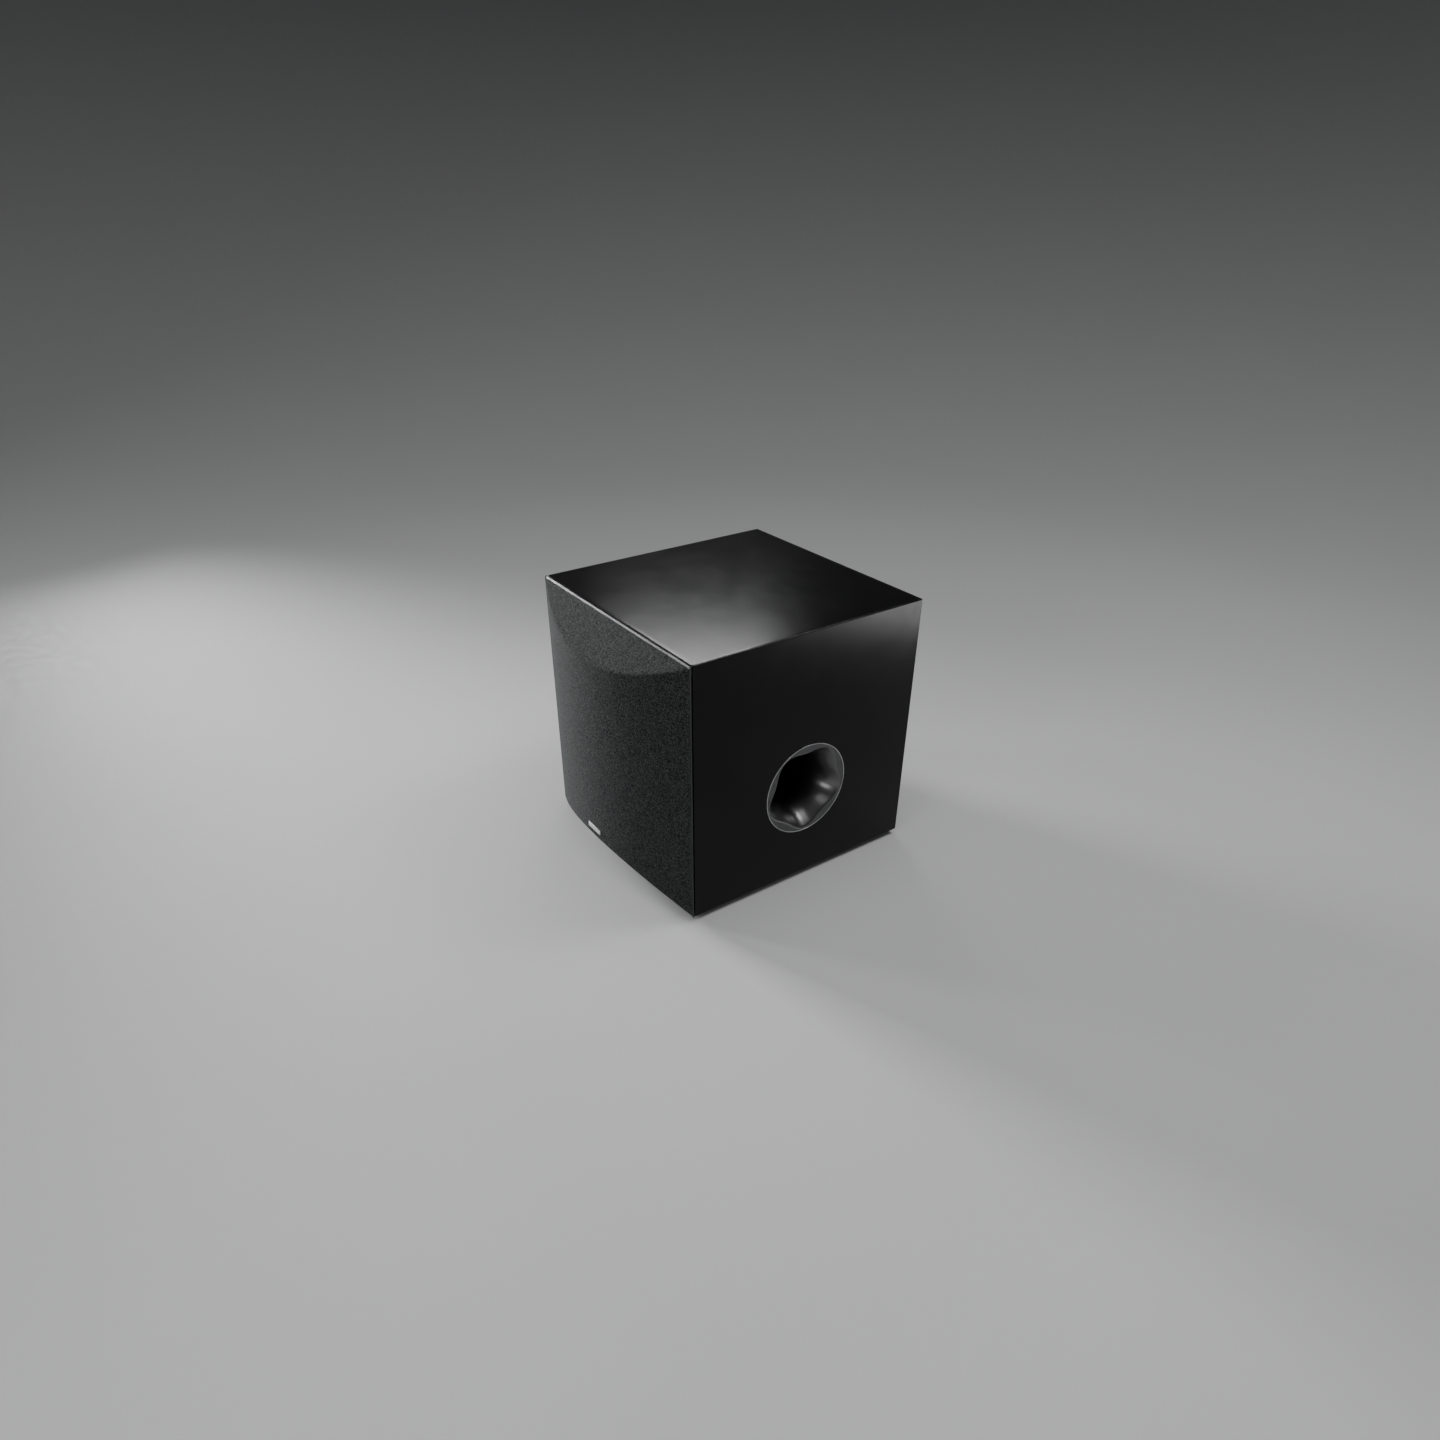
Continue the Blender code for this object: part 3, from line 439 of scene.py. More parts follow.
def spun(bm, profile, centre, axis="Y", steps=96, start=0.0, turn=math.tau):
    """A closed profile of (radius, along) spun round an axis; a part turn gets end caps."""
    whole = abs(turn - math.tau) < 1e-6
    count = steps if whole else steps + 1
    rings = []
    for i in range(count):
        angle = start + turn * i / steps
        c, s = math.cos(angle), math.sin(angle)
        rings.append([Vector(centre) + on_axis(axis, r * c, r * s, along) for r, along in profile])
    loft(bm, rings, closed=whole, capped=not whole)


def on_axis(axis, a, b, along):
    """A point a and b off the axis and `along` up it; Y runs towards +Y, X towards +X."""
    if axis == "Y":
        return Vector((a, along, b))
    if axis == "X":
        return Vector((along, a, b))
    return Vector((a, b, along))


def turned(name, profile, finish, body, centre, axis="Y", steps=96, sharp=35.0):
    bm = bmesh.new()
    spun(bm, profile, centre, axis, steps)
    return place(name, bm, finish, body, sharp)


def arc(centre, radius, start, end, steps):
    """Points on a circle, angles in degrees."""
    angles = [math.radians(start + (end - start) * i / steps) for i in range(steps + 1)]
    return [(centre[0] + radius * math.cos(a), centre[1] + radius * math.sin(a)) for a in angles]


def bend(start, corner, end, steps=6):
    """Points of a smooth turn from start to end that leans towards the corner."""
    points = []
    for i in range(steps + 1):
        t = i / steps
        a, b, c = (1 - t) ** 2, 2 * t * (1 - t), t * t
        points.append(tuple(a * p + b * q + c * r for p, q, r in zip(start, corner, end)))
    return points


def block(bm, low, high, round_by=0.0):
    """A block between two corners with rounded edges."""
    made = bmesh.ops.create_cube(bm, size=1.0)["verts"]
    low, high = Vector(low), Vector(high)
    bmesh.ops.scale(bm, vec=high - low, verts=made)
    bmesh.ops.translate(bm, vec=(low + high) / 2, verts=made)
    if round_by:
        edges = list({edge for vert in made for edge in vert.link_edges})
        bmesh.ops.bevel(bm, geom=edges, offset=round_by, segments=2, profile=0.5, affect="EDGES")


def join_mesh(bm, other, matrix):
    """Adds a copy of another bmesh, placed by the matrix."""
    copied = {vert: bm.verts.new(matrix @ vert.co) for vert in other.verts}
    for face in other.faces:
        bm.faces.new([copied[vert] for vert in face.verts])


# CAD nodes: their finish, welded corners and small rounded edges


def shading_group():
    """Drops the flat imported normals and shades smooth across every edge under the limit."""
    group = bpy.data.node_groups.new("smooth_by_angle", "GeometryNodeTree")
    group.interface.new_socket("Geometry", in_out="INPUT", socket_type="NodeSocketGeometry")
    group.interface.new_socket("Geometry", in_out="OUTPUT", socket_type="NodeSocketGeometry")
    new, link = group.nodes.new, group.links.new
    start, end = new("NodeGroupInput"), new("NodeGroupOutput")
    drop = new("GeometryNodeRemoveAttribute")
    drop.inputs["Name"].default_value = "custom_normal"
    faces, edges = new("GeometryNodeSetShadeSmooth"), new("GeometryNodeSetShadeSmooth")
    faces.domain, edges.domain = "FACE", "EDGE"
    limit = new("FunctionNodeCompare")
    limit.operation = "LESS_THAN"
    limit.inputs["B"].default_value = math.radians(32)
    link(new("GeometryNodeInputMeshEdgeAngle").outputs["Unsigned Angle"], limit.inputs["A"])
    link(limit.outputs[0], edges.inputs["Shade Smooth"])
    link(start.outputs[0], drop.inputs["Geometry"])
    link(drop.outputs[0], faces.inputs[0])
    link(faces.outputs[0], edges.inputs[0])
    link(edges.outputs[0], end.inputs[0])
    return group


ROUNDED = {  # edges of moulded and machined nodes, by their rounding
    0.2: ("heat_sink", "circuit_board", "woofer_terminal"),
    0.3: ("badge", "phase_switch", "bass_mode_switch", "auto_standby_switch"),
    0.4: ("power_switch_housing", "transformer_core", "input_jack_block"),
    0.5: ("power_rocker", "terminal_lever_low_red", "terminal_lever_low_black",
          "terminal_lever_high_red", "terminal_lever_high_black"),
}


def dress_cad_nodes():
    group = shading_group()
    rounding = {name: width for width, names in ROUNDED.items() for name in names}
    for name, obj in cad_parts.items():
        slot = obj.material_slots[0]
        slot.material = finish_of(slot.material.name.split(".")[0])
        weld = obj.modifiers.new("weld", "WELD")
        weld.merge_threshold = 0.01 * MM
        if name in rounding:
            edge = obj.modifiers.new("edges", "BEVEL")
            edge.width = rounding[name] * MM
            edge.segments = 2
            edge.limit_method = "ANGLE"
            edge.angle_limit = math.radians(35)
        shade = obj.modifiers.new("shade", "NODES")
        shade.node_group = group


# Cabinet skin


def ring_outline(half_x, half_z, corner):
    """Rounded rectangle round (0, Z_MID) as (x, z, wear), worn only near its corners."""
    flat, steps = 4.0, 5
    points = []
    for turn, (sx, sz) in enumerate(((1, 1), (-1, 1), (-1, -1), (1, -1))):
        cx, cz = sx * (half_x - corner), sz * (half_z - corner)
        ends = [(sx * half_x, cz - sz * flat, 0.0), (cx - sx * flat, sz * half_z, 0.0)]
        first, last = ends if turn % 2 == 0 else reversed(ends)
        curve = arc((cx, cz), corner, 90.0 * turn, 90.0 * turn + 90, steps)
        points += [first, *((x, z, 1.0) for x, z in curve), last]
    return [(x, z + Z_MID, worn) for x, z, worn in points]


def vinyl_wrap():
    """Vinyl over the four walls, turned over their front and back edges, with the port's hole."""
    front, back = Y_FRONT - SKIN, Y_BACK + SKIN
    unworn_face, unworn_side = EDGE + 4, 6
    # Each point is (inset from the side, y, wear).
    outer = [(WALL, front, 0), (unworn_face, front, 0)]
    outer += [
        (EDGE * (1 - math.sin(a)), front + EDGE * (1 - math.cos(a)), 1) for a in QUARTER_TURN
    ]
    outer += [(0, Y_FRONT + unworn_side, 0), (0, Y_BACK - unworn_side, 0)]
    outer += [
        (EDGE * (1 - math.cos(a)), back - EDGE * (1 - math.sin(a)), 1) for a in QUARTER_TURN
    ]
    outer += [(unworn_face, back, 0), (WALL, back, 0)]
    thick = SKIN - 0.03
    inner = [(WALL, back - thick, 0), (thick, back - thick, 0)]
    inner += [(thick, front + thick, 0), (WALL, front + thick, 0)]
    bm = bmesh.new()
    worn = bm.verts.layers.float.new("edge_wear")
    rings, wear = [], []
    for inset, y, edge in outer + inner:
        corner = max(EDGE + SKIN - inset, 0.15)
        outline = ring_outline(HALF_WIDTH + SKIN - inset, HALF_HEIGHT + SKIN - inset, corner)
        rings.append([(x, y, z) for x, z, _ in outline])
        wear.append([edge if inset > EDGE / 2 or edge else w for _, _, w in outline])
    verts = loft(bm, rings, closed=True)
    for row, values in zip(verts, wear):
        for vert, value in zip(row, values):
            vert[worn] = value
    wrap = place("vinyl_wrap", bm, "black_vinyl", "cabinet")
    bm = bmesh.new()
    hole, past = PORT_FLANGE + GAP, 3
    inside, outside = PORT_HIGH.x - past, PORT_HIGH.x + past
    disc = [(0.0, outside), (hole, outside), (hole, inside), (0.0, inside)]
    spun(bm, disc, (0, PORT_Y, PORT_Z), "X", 128)
    cutter = place("hole_cutter", bm, "black_vinyl", None)
    cut_away(wrap, cutter)


def cut_away(obj, cutter):
    """Cuts one mesh from another for good and removes the cutter."""
    modifier = obj.modifiers.new("cut", "BOOLEAN")
    modifier.object, modifier.operation, modifier.solver = cutter, "DIFFERENCE", "EXACT"
    bpy.context.view_layer.update()
    graph = bpy.context.evaluated_depsgraph_get()
    cut = bpy.data.meshes.new_from_object(obj.evaluated_get(graph))
    obj.modifiers.clear()
    cut.name = obj.name
    obj.data = cut
    bpy.data.objects.remove(cutter)


# Grille

RIM_BACK = 2.0  # depth of the rim's back edge ahead of the cabinet
CLOTH_EDGE, CLOTH_BOW = 4.0, 41.5  # depth at the sides, and how much more in the middle
BEVEL = 1.03  # height lost for each millimetre of depth on the two cut-back faces
CLOTH_COLUMNS, CLOTH_REACH = 112, 173.9
CLOTH_WRAP = 11.0  # turned in behind the rim


def bow(x):
    return CLOTH_EDGE + CLOTH_BOW * (1 - (x / HALF_WIDTH) ** 2)


def cloth_column(depth):
    """Half of one column, from the middle up: (depth ahead of the cabinet, height over the middle)."""
    rows, slope_rows, short_of_rim, behind = 22, 12, 0.35, RIM_BACK - 0.35
    ridge = HALF_HEIGHT - BEVEL * (depth - RIM_BACK)
    slope = math.hypot(depth - RIM_BACK, HALF_HEIGHT - ridge)
    soft = min(3.0, 0.45 * slope)
    points = [(depth, (ridge - soft) * i / rows) for i in range(rows)]
    along = ((RIM_BACK - depth) / max(slope, 1e-6), (HALF_HEIGHT - ridge) / max(slope, 1e-6))
    start = (depth + along[0] * soft, ridge + along[1] * soft)
    points += bend((depth, ridge - soft), (depth, ridge), start)
    stop = (RIM_BACK + short_of_rim, HALF_HEIGHT - BEVEL * short_of_rim)
    points += [
        tuple(a + (b - a) * i / slope_rows for a, b in zip(start, stop))
        for i in range(1, slope_rows + 1)
    ]
    points += [(RIM_BACK - 0.05, HALF_HEIGHT + 0.1), (behind, HALF_HEIGHT - 0.4)]
    points += [(behind, HALF_HEIGHT - CLOTH_WRAP * i / 3) for i in (1, 2, 3)]
    return points


def grille_knit():
    """The cloth over the front, the two cut-back faces and behind the rim, flat-mapped for its weave."""
    xs = [-CLOTH_REACH + 2 * CLOTH_REACH * i / CLOTH_COLUMNS for i in range(CLOTH_COLUMNS + 1)]
    lip = [(174.5, 4.42), (174.8, 4.28), (174.7, 4.1), (173.5, 4.06)]  # (x, depth) round each side
    columns = [(-x, depth) for x, depth in reversed(lip)] + [(x, bow(x)) for x in xs] + lip
    bm = bmesh.new()
    flat = bm.loops.layers.uv.new("cloth")
    across, rings, spots = 0.0, [], []
    before = None
    for x, depth in columns:
        if before:
            across += math.hypot(x - before[0], depth - before[1])
        before = (x, depth)
        half = cloth_column(depth)
        path = [(d, -h) for d, h in reversed(half[1:])] + half
        rings.append([(x, Y_FRONT - d, Z_MID + h) for d, h in path])
        lengths = [0.0]
        for (d0, h0), (d1, h1) in zip(path, path[1:]):
            lengths.append(lengths[-1] + math.hypot(d1 - d0, h1 - h0))
        middle = lengths[len(half) - 1]
        spots.append([(across * MM, (along - middle) * MM) for along in lengths])
    verts = loft(bm, rings, around=False)
    spot_of = {v: s for row, spot in zip(verts, spots) for v, s in zip(row, spot)}
    for face in bm.faces:
        for loop in face.loops:
            loop[flat].uv = spot_of[loop.vert]
    knit = place("grille_knit", bm, "grille_cloth", "grille", 75.0)
    thick = knit.modifiers.new("thickness", "SOLIDIFY")
    thick.thickness = 0.5 * MM
    thick.offset = -1.0 if outward(knit) else 1.0
    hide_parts("grille_cloth")


def outward(obj):
    """True if the sheet's middle faces the front."""
    face = min(obj.data.polygons, key=lambda p: abs(p.center.x) + abs(p.center.z - Z_MID * MM))
    return face.normal.y < 0


# Bass port

MOUTH, THROAT, LOBE, LOBES, LOBE_ANGLE = 56.9, 39.0, 4.2, 5, 54.0
PORT_BEAD, PORT_NECK = 1.1, 61.6  # width of the flange's bead, radius behind the flange


def port_radius(angle, inward):
    fade = 1 - inward
    mean = THROAT + (MOUTH - THROAT) * fade**3.0
    return mean + LOBE * fade * math.cos(LOBES * (angle - math.radians(LOBE_ANGLE)))


def port_section(angle):
    """(x, radius) points of the flare and flange at one angle, from the throat to the flange and back."""
    face, seat = HALF_WIDTH + 0.15, PORT_HIGH.x - 3.4
    rows, lip, wall = 36, 2.2, 2.0
    shell = [
        (HALF_WIDTH - depth, port_radius(angle, depth / PORT_LENGTH))
        for depth in (lip + (PORT_LENGTH - lip) * (1 - i / rows) ** 1.3 for i in range(rows + 1))
    ]
    mouth = port_radius(angle, 0.0)
    flat = mouth + 2.0
    shell += bend(shell[-1], (face, mouth + 0.1), (face, flat))[1:]
    bead = PORT_FLANGE - PORT_BEAD
    shell += [(face, flat + (bead - 0.2 - flat) * i / 3) for i in (1, 2, 3)]
    shell += [(face + 0.1, bead)]
    half = PORT_BEAD / 2
    shell += [(face + 0.1 + y, r) for r, y in arc((PORT_FLANGE - half, 0.0), half, 160, 0, 7)]
    shell += [(face - 0.2, PORT_FLANGE), (seat, PORT_FLANGE), (seat, PORT_NECK)]
    rows, first = 12, 5
    shell += [
        (HALF_WIDTH - depth, min(port_radius(angle, depth / PORT_LENGTH) + wall, PORT_NECK - 0.2))
        for depth in (first + (PORT_LENGTH - first) * i / rows for i in range(rows + 1))
    ]
    return shell


def port_shell():
    """The flare's lobed, polished throat and the satin flange round its mouth, whose bead is painted pale as
    a highlight.
    """
    steps = 250
    bm = bmesh.new()
    rings = []
    for i in range(steps):
        angle = math.tau * i / steps
        c, s = math.cos(angle), math.sin(angle)
        rings.append([(x, PORT_Y + r * c, PORT_Z + r * s) for x, r in port_section(angle)])
    loft(bm, rings, closed=True)
    shell = place("port_flare_shell", bm, "port_plastic", "cabinet", 50.0)
    shell.data.materials.append(finish_of("port_satin"))
    shell.data.materials.append(finish_of("port_bead_painted_highlight"))
    for face in shell.data.polygons:
        away = face.center / MM - Vector((0, PORT_Y, PORT_Z))
        angle, radius = math.atan2(away.z, away.y), math.hypot(away.y, away.z)
        on_flange = radius > port_radius(angle, 0.0) + 1.2 and away.x > HALF_WIDTH - 2
        # The bead's faces get the pale finish: a painted highlight round the rim.
        on_bead_painted_highlight = on_flange and radius > PORT_FLANGE - PORT_BEAD + 0.05
        face.material_index = 2 if on_bead_painted_highlight else 1 if on_flange else 0
    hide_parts("port_flare")

    low, high = node_box("port_tube")
    wall = 2.5
    tube = [(THROAT, low.x), (THROAT + wall, low.x), (THROAT + wall, high.x), (THROAT, high.x)]
    centre = (0, PORT_Y, PORT_Z)
    made = turned("port_tube_shell", tube, "black_plastic", "cabinet", centre, "X")
    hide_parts("port_tube")
    low, high = node_box("port_inner_flare")
    flare = (high.y - low.y) / 2 - THROAT - wall
    inside = [
        (THROAT + flare * (1 - math.cos(a)), high.x - math.sin(a) * (high.x - low.x))
        for a in (math.radians(7.5 * i) for i in range(13))
    ]
    bell = inside + [(r + wall, x) for r, x in reversed(inside)]
    made = turned("port_inner_bell", bell, "black_plastic", "cabinet", centre, "X")
    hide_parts("port_inner_flare")


# Screws


def screw_head(radius, height):
    """A pan head with a cross recess, its seat at 0 and its top along +Z."""
    bm = bmesh.new()
    reach, half = 0.62 * radius, 0.13 * radius  # of the recess's arms
    corner, eighth = math.atan2(half, reach), math.pi / 8
    offsets = (-corner, 0.0, corner, eighth + corner / 2, 2 * eighth, 3 * eighth - corner / 2)
    angles = [quarter * math.pi / 2 + offset for quarter in range(4) for offset in offsets]

    def cross(angle, scale):
        c, s = abs(math.cos(angle)) + 1e-9, abs(math.sin(angle)) + 1e-9
        return scale * max(min(reach / c, half / s), min(reach / s, half / c))

    sides = ((1.0, 0.0), (1.0, 0.25), (0.93, 0.6), (0.75, 0.9))  # shares of radius and height
    top = height
    rings = [
        [(r * radius * math.cos(a), r * radius * math.sin(a), z * height) for a in angles]
        for r, z in sides
    ]
    for scale, z in ((1.0, top), (0.85, top - 0.7 * height), (0.3, top - 0.8 * height)):
        rings.append([(cross(a, scale) * math.cos(a), cross(a, scale) * math.sin(a), z) for a in angles])
    loft(bm, rings, capped=True)
    return bm


def screws(name, spots, out, radius, height):
    """Screws at the spots, their heads facing `out`, each turned a little differently."""
    head = screw_head(radius, height)
    up = Vector(out).to_track_quat("Z", "Y").to_matrix().to_4x4()
    bm = bmesh.new()
    for i, spot in enumerate(spots):
        turn = Matrix.Rotation(math.radians(37.0 * i), 4, "Z")
        join_mesh(bm, head, Matrix.Translation(spot) @ up @ turn)
    head.free()
    place(name, bm, "screw_black", "cabinet", 40.0)


# Woofer

WOOFER = (0.0, BAFFLE_FACE, Z_MID)
# Profiles below are (radius, depth behind the baffle's face).
LAND, SURROUND_THICK = -3.6, 1.2
SURROUND_OUT, SURROUND_IN = 121.5, 86.4
ROLL_MIDDLE, ROLL = 100.0, 7.5
CONE_EDGE, CONE_NECK, CONE_DEPTH, CONE_FRONT = 91.9, 26.3, 45.0, -3.0


def sectors(name, profile, count, finish, node):
    """A ring in equal sectors, each its own piece, in place of the CAD node."""
    for i in range(count):
        middle = math.tau * (i + 0.5) / count
        half = math.pi / count
        bm = bmesh.new()
        spun(bm, profile, WOOFER, "Y", 8, middle - half, 2 * half)
        piece = place(f"{name}_{i + 1}", bm, finish, None, 50.0)
        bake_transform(piece)
        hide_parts(node)


def surround():
    """The rubber roll that lets the cone travel."""
    face = LAND - SURROUND_THICK
    front = [(SURROUND_OUT, face), (SURROUND_OUT - 12, face)]
    front += [(r, face - y) for r, y in arc((ROLL_MIDDLE, 0), ROLL, 0, 180, 20)]
    front += [(90, face), (87, face + 0.3), (SURROUND_IN, LAND - 0.5)]
    back = [(SURROUND_IN, LAND), (ROLL_MIDDLE - ROLL, LAND)]
    back += [(r, LAND - y) for r, y in arc((ROLL_MIDDLE, 0), ROLL - SURROUND_THICK, 180, 0, 20)]
    back += [(SURROUND_OUT, LAND)]
    sectors("surround_sector", front + back, 24, "surround_rubber", "cone_surround")


def spider():
    """The rippled cloth disc that centres the coil."""
    waves, ripple, low, high, middle, thick, rows = 7, 1.6, 26.6, 65.4, 55.4, 0.7, 84
    radii = [low + (high - low) * i / rows for i in range(rows + 1)]
    wave = [
        (r, middle + ripple * math.sin(math.pi * waves * (r - low) / (high - low))) for r in radii
    ]
    front = [(r, y - thick / 2) for r, y in wave]
    back = [(r, y + thick / 2) for r, y in reversed(wave)]
    sectors("spider_sector", front + back, 12, "spider_cloth", "spider")


def cone():
    """The ribbed paper cone and its dust cap."""
    rows, thick, ribs, rib_height, rib_width = 60, 1.1, (80.0, 68.0, 56.0, 44.0), 0.35, 1.3

    def depth(radius):
        rib = sum(rib_height * math.exp(-(((radius - at) / rib_width) ** 2)) for at in ribs)
        return CONE_FRONT + CONE_DEPTH * (CONE_EDGE - radius) / (CONE_EDGE - CONE_NECK) - rib

    radii = [CONE_EDGE + (CONE_NECK - CONE_EDGE) * i / rows for i in range(rows + 1)]
    shell = [(r, depth(r)) for r in radii] + [(r, depth(r) + thick) for r in reversed(radii)]
    made = turned("cone_shell", shell, "cone_paper", "cone_assembly", WOOFER, steps=120)
    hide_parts("woofer_cone")

    radius, rise, thick = 35.0, 11.0, 0.7
    base = CONE_FRONT + CONE_DEPTH * (92 - radius) / 65.8 - 1.2
    dome = [(radius * i / 24, base - rise * (1 - (i / 24) ** 2)) for i in range(25)]
    cap = [(r, y - thick) for r, y in dome]
    cap += [(radius + 1.4, base - 1.6), (radius + 2.2, base - 0.9)] + dome[::-1]
    made = turned("dust_cap_shell", cap, "cone_paper", "cone_assembly", WOOFER, sharp=60)
    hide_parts("dust_cap")


def woofer_rim():
    """The foam gasket over the basket's rim, and the eight screws."""
    face, behind = LAND - SURROUND_THICK - 2.3, LAND - SURROUND_THICK - 0.3
    inner, outer, screw_circle, screw_count = 109.6, 129.9, 125, 8
    ring = [(inner, behind), (inner, face + 0.6), (inner + 0.6, face)]
    ring += [(outer - 0.7, face), (outer, face + 0.6), (outer, behind)]
    made = turned("gasket_ring", ring, "gasket_foam", "cabinet", WOOFER, steps=128)
    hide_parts("woofer_gasket")
    flange = [(110.5, -0.35), (110.5, -3.2), (130.6, -3.2), (131.0, -2.8), (131.4, -0.35)]
    turned("basket_rim", flange, "painted_steel", "cabinet", WOOFER, steps=128)
    spots = []
    for i in range(screw_count):
        angle = math.tau * (i + 0.5) / screw_count
        out = Vector((screw_circle * math.cos(angle), face, screw_circle * math.sin(angle)))
        spots.append(Vector(WOOFER) + out)
    screws("woofer_screws", spots, (0, -1, 0), 4.6, 2.6)


# Amplifier plate


def plate_edge():
    """The plate's screws and the strip of sealing foam that shows round it."""
    low, high = node_box("amp_plate")
    inset = 8.0
    zs = [low.z + inset + (high.z - low.z - 2 * inset) * i / 4 for i in range(5)]
    spots = [(x, PLATE_FACE, z) for x in (low.x + inset, high.x - inset) for z in zs]
    spots += [(0.0, PLATE_FACE, zs[0]), (0.0, PLATE_FACE, zs[-1])]
    screws("plate_screws", spots, (0, 1, 0), 3.6, 2.2)

    bm = bmesh.new()
    out, gap, lap, back, face = 2.5, 0.2, 0.1, low.y + 0.05, low.y + 1.1
    for x0, z0, x1, z1 in (
        (low.x - out, low.z - out, high.x + out, low.z - gap),
        (low.x - out, high.z + gap, high.x + out, high.z + out),
        (low.x - out, low.z - lap, low.x - gap, high.z + lap),
        (high.x + gap, low.z - lap, high.x + out, high.z + lap),
    ):
        block(bm, (x0, back, z0), (x1, face, z1), 0.3)
    place("plate_seal", bm, "gasket_foam", "cabinet")


def dials():
    """Tick marks and numbers round the two knobs, a nut under each, and the knobs themselves."""
    ticks, reach, tick_start, half_tick = 11, 150, 13.2, 0.28
    for name, numbers in (("volume", ("0", "10")), ("high_cut", ("50", "150"))):
        x, _, z = node_middle(f"{name}_knob")
        bm = bmesh.new()
        for i in range(ticks):
            angle = math.radians(-reach + 2 * reach * i / (ticks - 1))
            long = 3.2 if i in (0, 5, 10) else 2.2
            tick = bmesh.new()
            block(tick, (-half_tick, 0.0, tick_start), (half_tick, 0.09, tick_start + long))
            turn = Matrix.Translation((x, PLATE_FACE, z)) @ Matrix.Rotation(angle, 4, "Y")
            join_mesh(bm, tick, turn)
            tick.free()
        place(f"{name}_dial", bm, "print_white", "cabinet")
        for side, number in zip((-1, 1), numbers):
            label(f"{name}_number_{number}", number, (x - side * 12.2, PLATE_FACE, z - 17.5), 5.0)
        nut, across = bmesh.new(), 6.1
        hexagon = [(across * math.cos(a), across * math.sin(a)) for a in (math.tau * i / 6 for i in range(6))]
        rows = ((0.93, 0.55), (1.0, 0.75), (1.0, 1.8), (0.93, 2.05), (0.56, 2.05), (0.56, 0.55))
        rings = [[(x + a * s, PLATE_FACE + y, z + b * s) for a, b in hexagon] for s, y in rows]
        loft(nut, rings, closed=True)
        place(f"{name}_nut", nut, "nickel", "cabinet")
        washer = [(3.4, 0.02), (7.4, 0.02), (7.4, 0.45), (3.4, 0.45)]
        turned(f"{name}_washer", washer, "nickel", "cabinet", (x, PLATE_FACE, z), steps=48)
        knob(name, x, z)


def label(name, text, at, size):
    """A small printed number that reads from behind the cabinet."""
    curve = bpy.data.curves.new(name, "FONT")
    curve.body = text
    curve.size = size * MM
    curve.align_x = "CENTER"
    curve.align_y = "CENTER"
    curve.extrude = 0.04 * MM
    curve.materials.append(finish_of("print_white"))
    text_object = bpy.data.objects.new(f"{name}_text", curve)
    bpy.context.scene.collection.objects.link(text_object)
    bpy.context.view_layer.update()
    graph = bpy.context.evaluated_depsgraph_get()
    mesh = bpy.data.meshes.new_from_object(text_object.evaluated_get(graph))
    bpy.data.objects.remove(text_object)
    turn = Matrix.Rotation(math.pi, 4, "Z") @ Matrix.Rotation(math.pi / 2, 4, "X")
    mesh.transform(Matrix.Translation((at[0] * MM, (at[1] + 0.05) * MM, at[2] * MM)) @ turn)
    obj = bpy.data.objects.new(name, mesh)
    bpy.context.scene.collection.objects.link(obj)
    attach(obj, "cabinet")


def knob(name, x, z):
    """A fluted knob with a rounded rim, a dished face and a white pointer."""
    low, high = node_box(f"{name}_knob")
    radius, face = (high.x - low.x) / 2, high.y
    skirt = PLATE_FACE + 2.5
    flutes, steps, fluted, groove, rim = 18, 216, 0.3, 0.7, 1.2

    def ring(base, y, depth):
        points = []
        for i in range(steps):
            angle = math.tau * i / steps
            r = base - depth * (0.5 - 0.5 * math.cos(flutes * angle)) ** 2
            points.append((x + r * math.cos(angle), y, z + r * math.sin(angle)))
        return points

    rounding = [
        (radius - rim + rim * math.cos(a), face - rim + rim * math.sin(a)) for a in QUARTER_TURN
    ]
    rows = [(3.4, skirt, 0.0), (radius - 0.5, skirt, 0.0)]
    rows += [(radius, skirt + 0.4, 0.0), (radius, skirt + 2.0, 0.0)]
    rows += [(radius - fluted, skirt + 2.6, 0.0), (radius - fluted, skirt + 3.4, groove)]
    rows += [(r - fluted, y, groove * (1 - i / 8)) for i, (r, y) in enumerate(rounding)]
    rows += [(radius - 2.4, face, 0.0), (radius - 3.0, face - 0.35, 0.0), (1.2, face - 0.6, 0.0)]
    bm = bmesh.new()
    loft(bm, [ring(r, y, depth) for r, y, depth in rows], capped=True)
    made = place(f"{name}_knob_cap", bm, "black_plastic", f"{name}_knob", 40.0)
    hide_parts(f"{name}_knob")
    bm = bmesh.new()
    block(bm, (x - 0.55, face - 0.75, z + 3.5), (x + 0.55, face + 0.12, z + radius - 1.1), 0.1)
    block(bm, (x - 0.5, skirt + 3.6, z + radius - 1.0), (x + 0.5, face - 1.3, z + radius - 0.1), 0.1)
    place(f"{name}_pointer", bm, "print_white", f"{name}_knob")
    shaft = [(0, -10), (3, -10), (3, 8), (0, 8)]
    turned(f"{name}_shaft", shaft, "nickel", f"{name}_knob", (x, PLATE_FACE, z), steps=32)


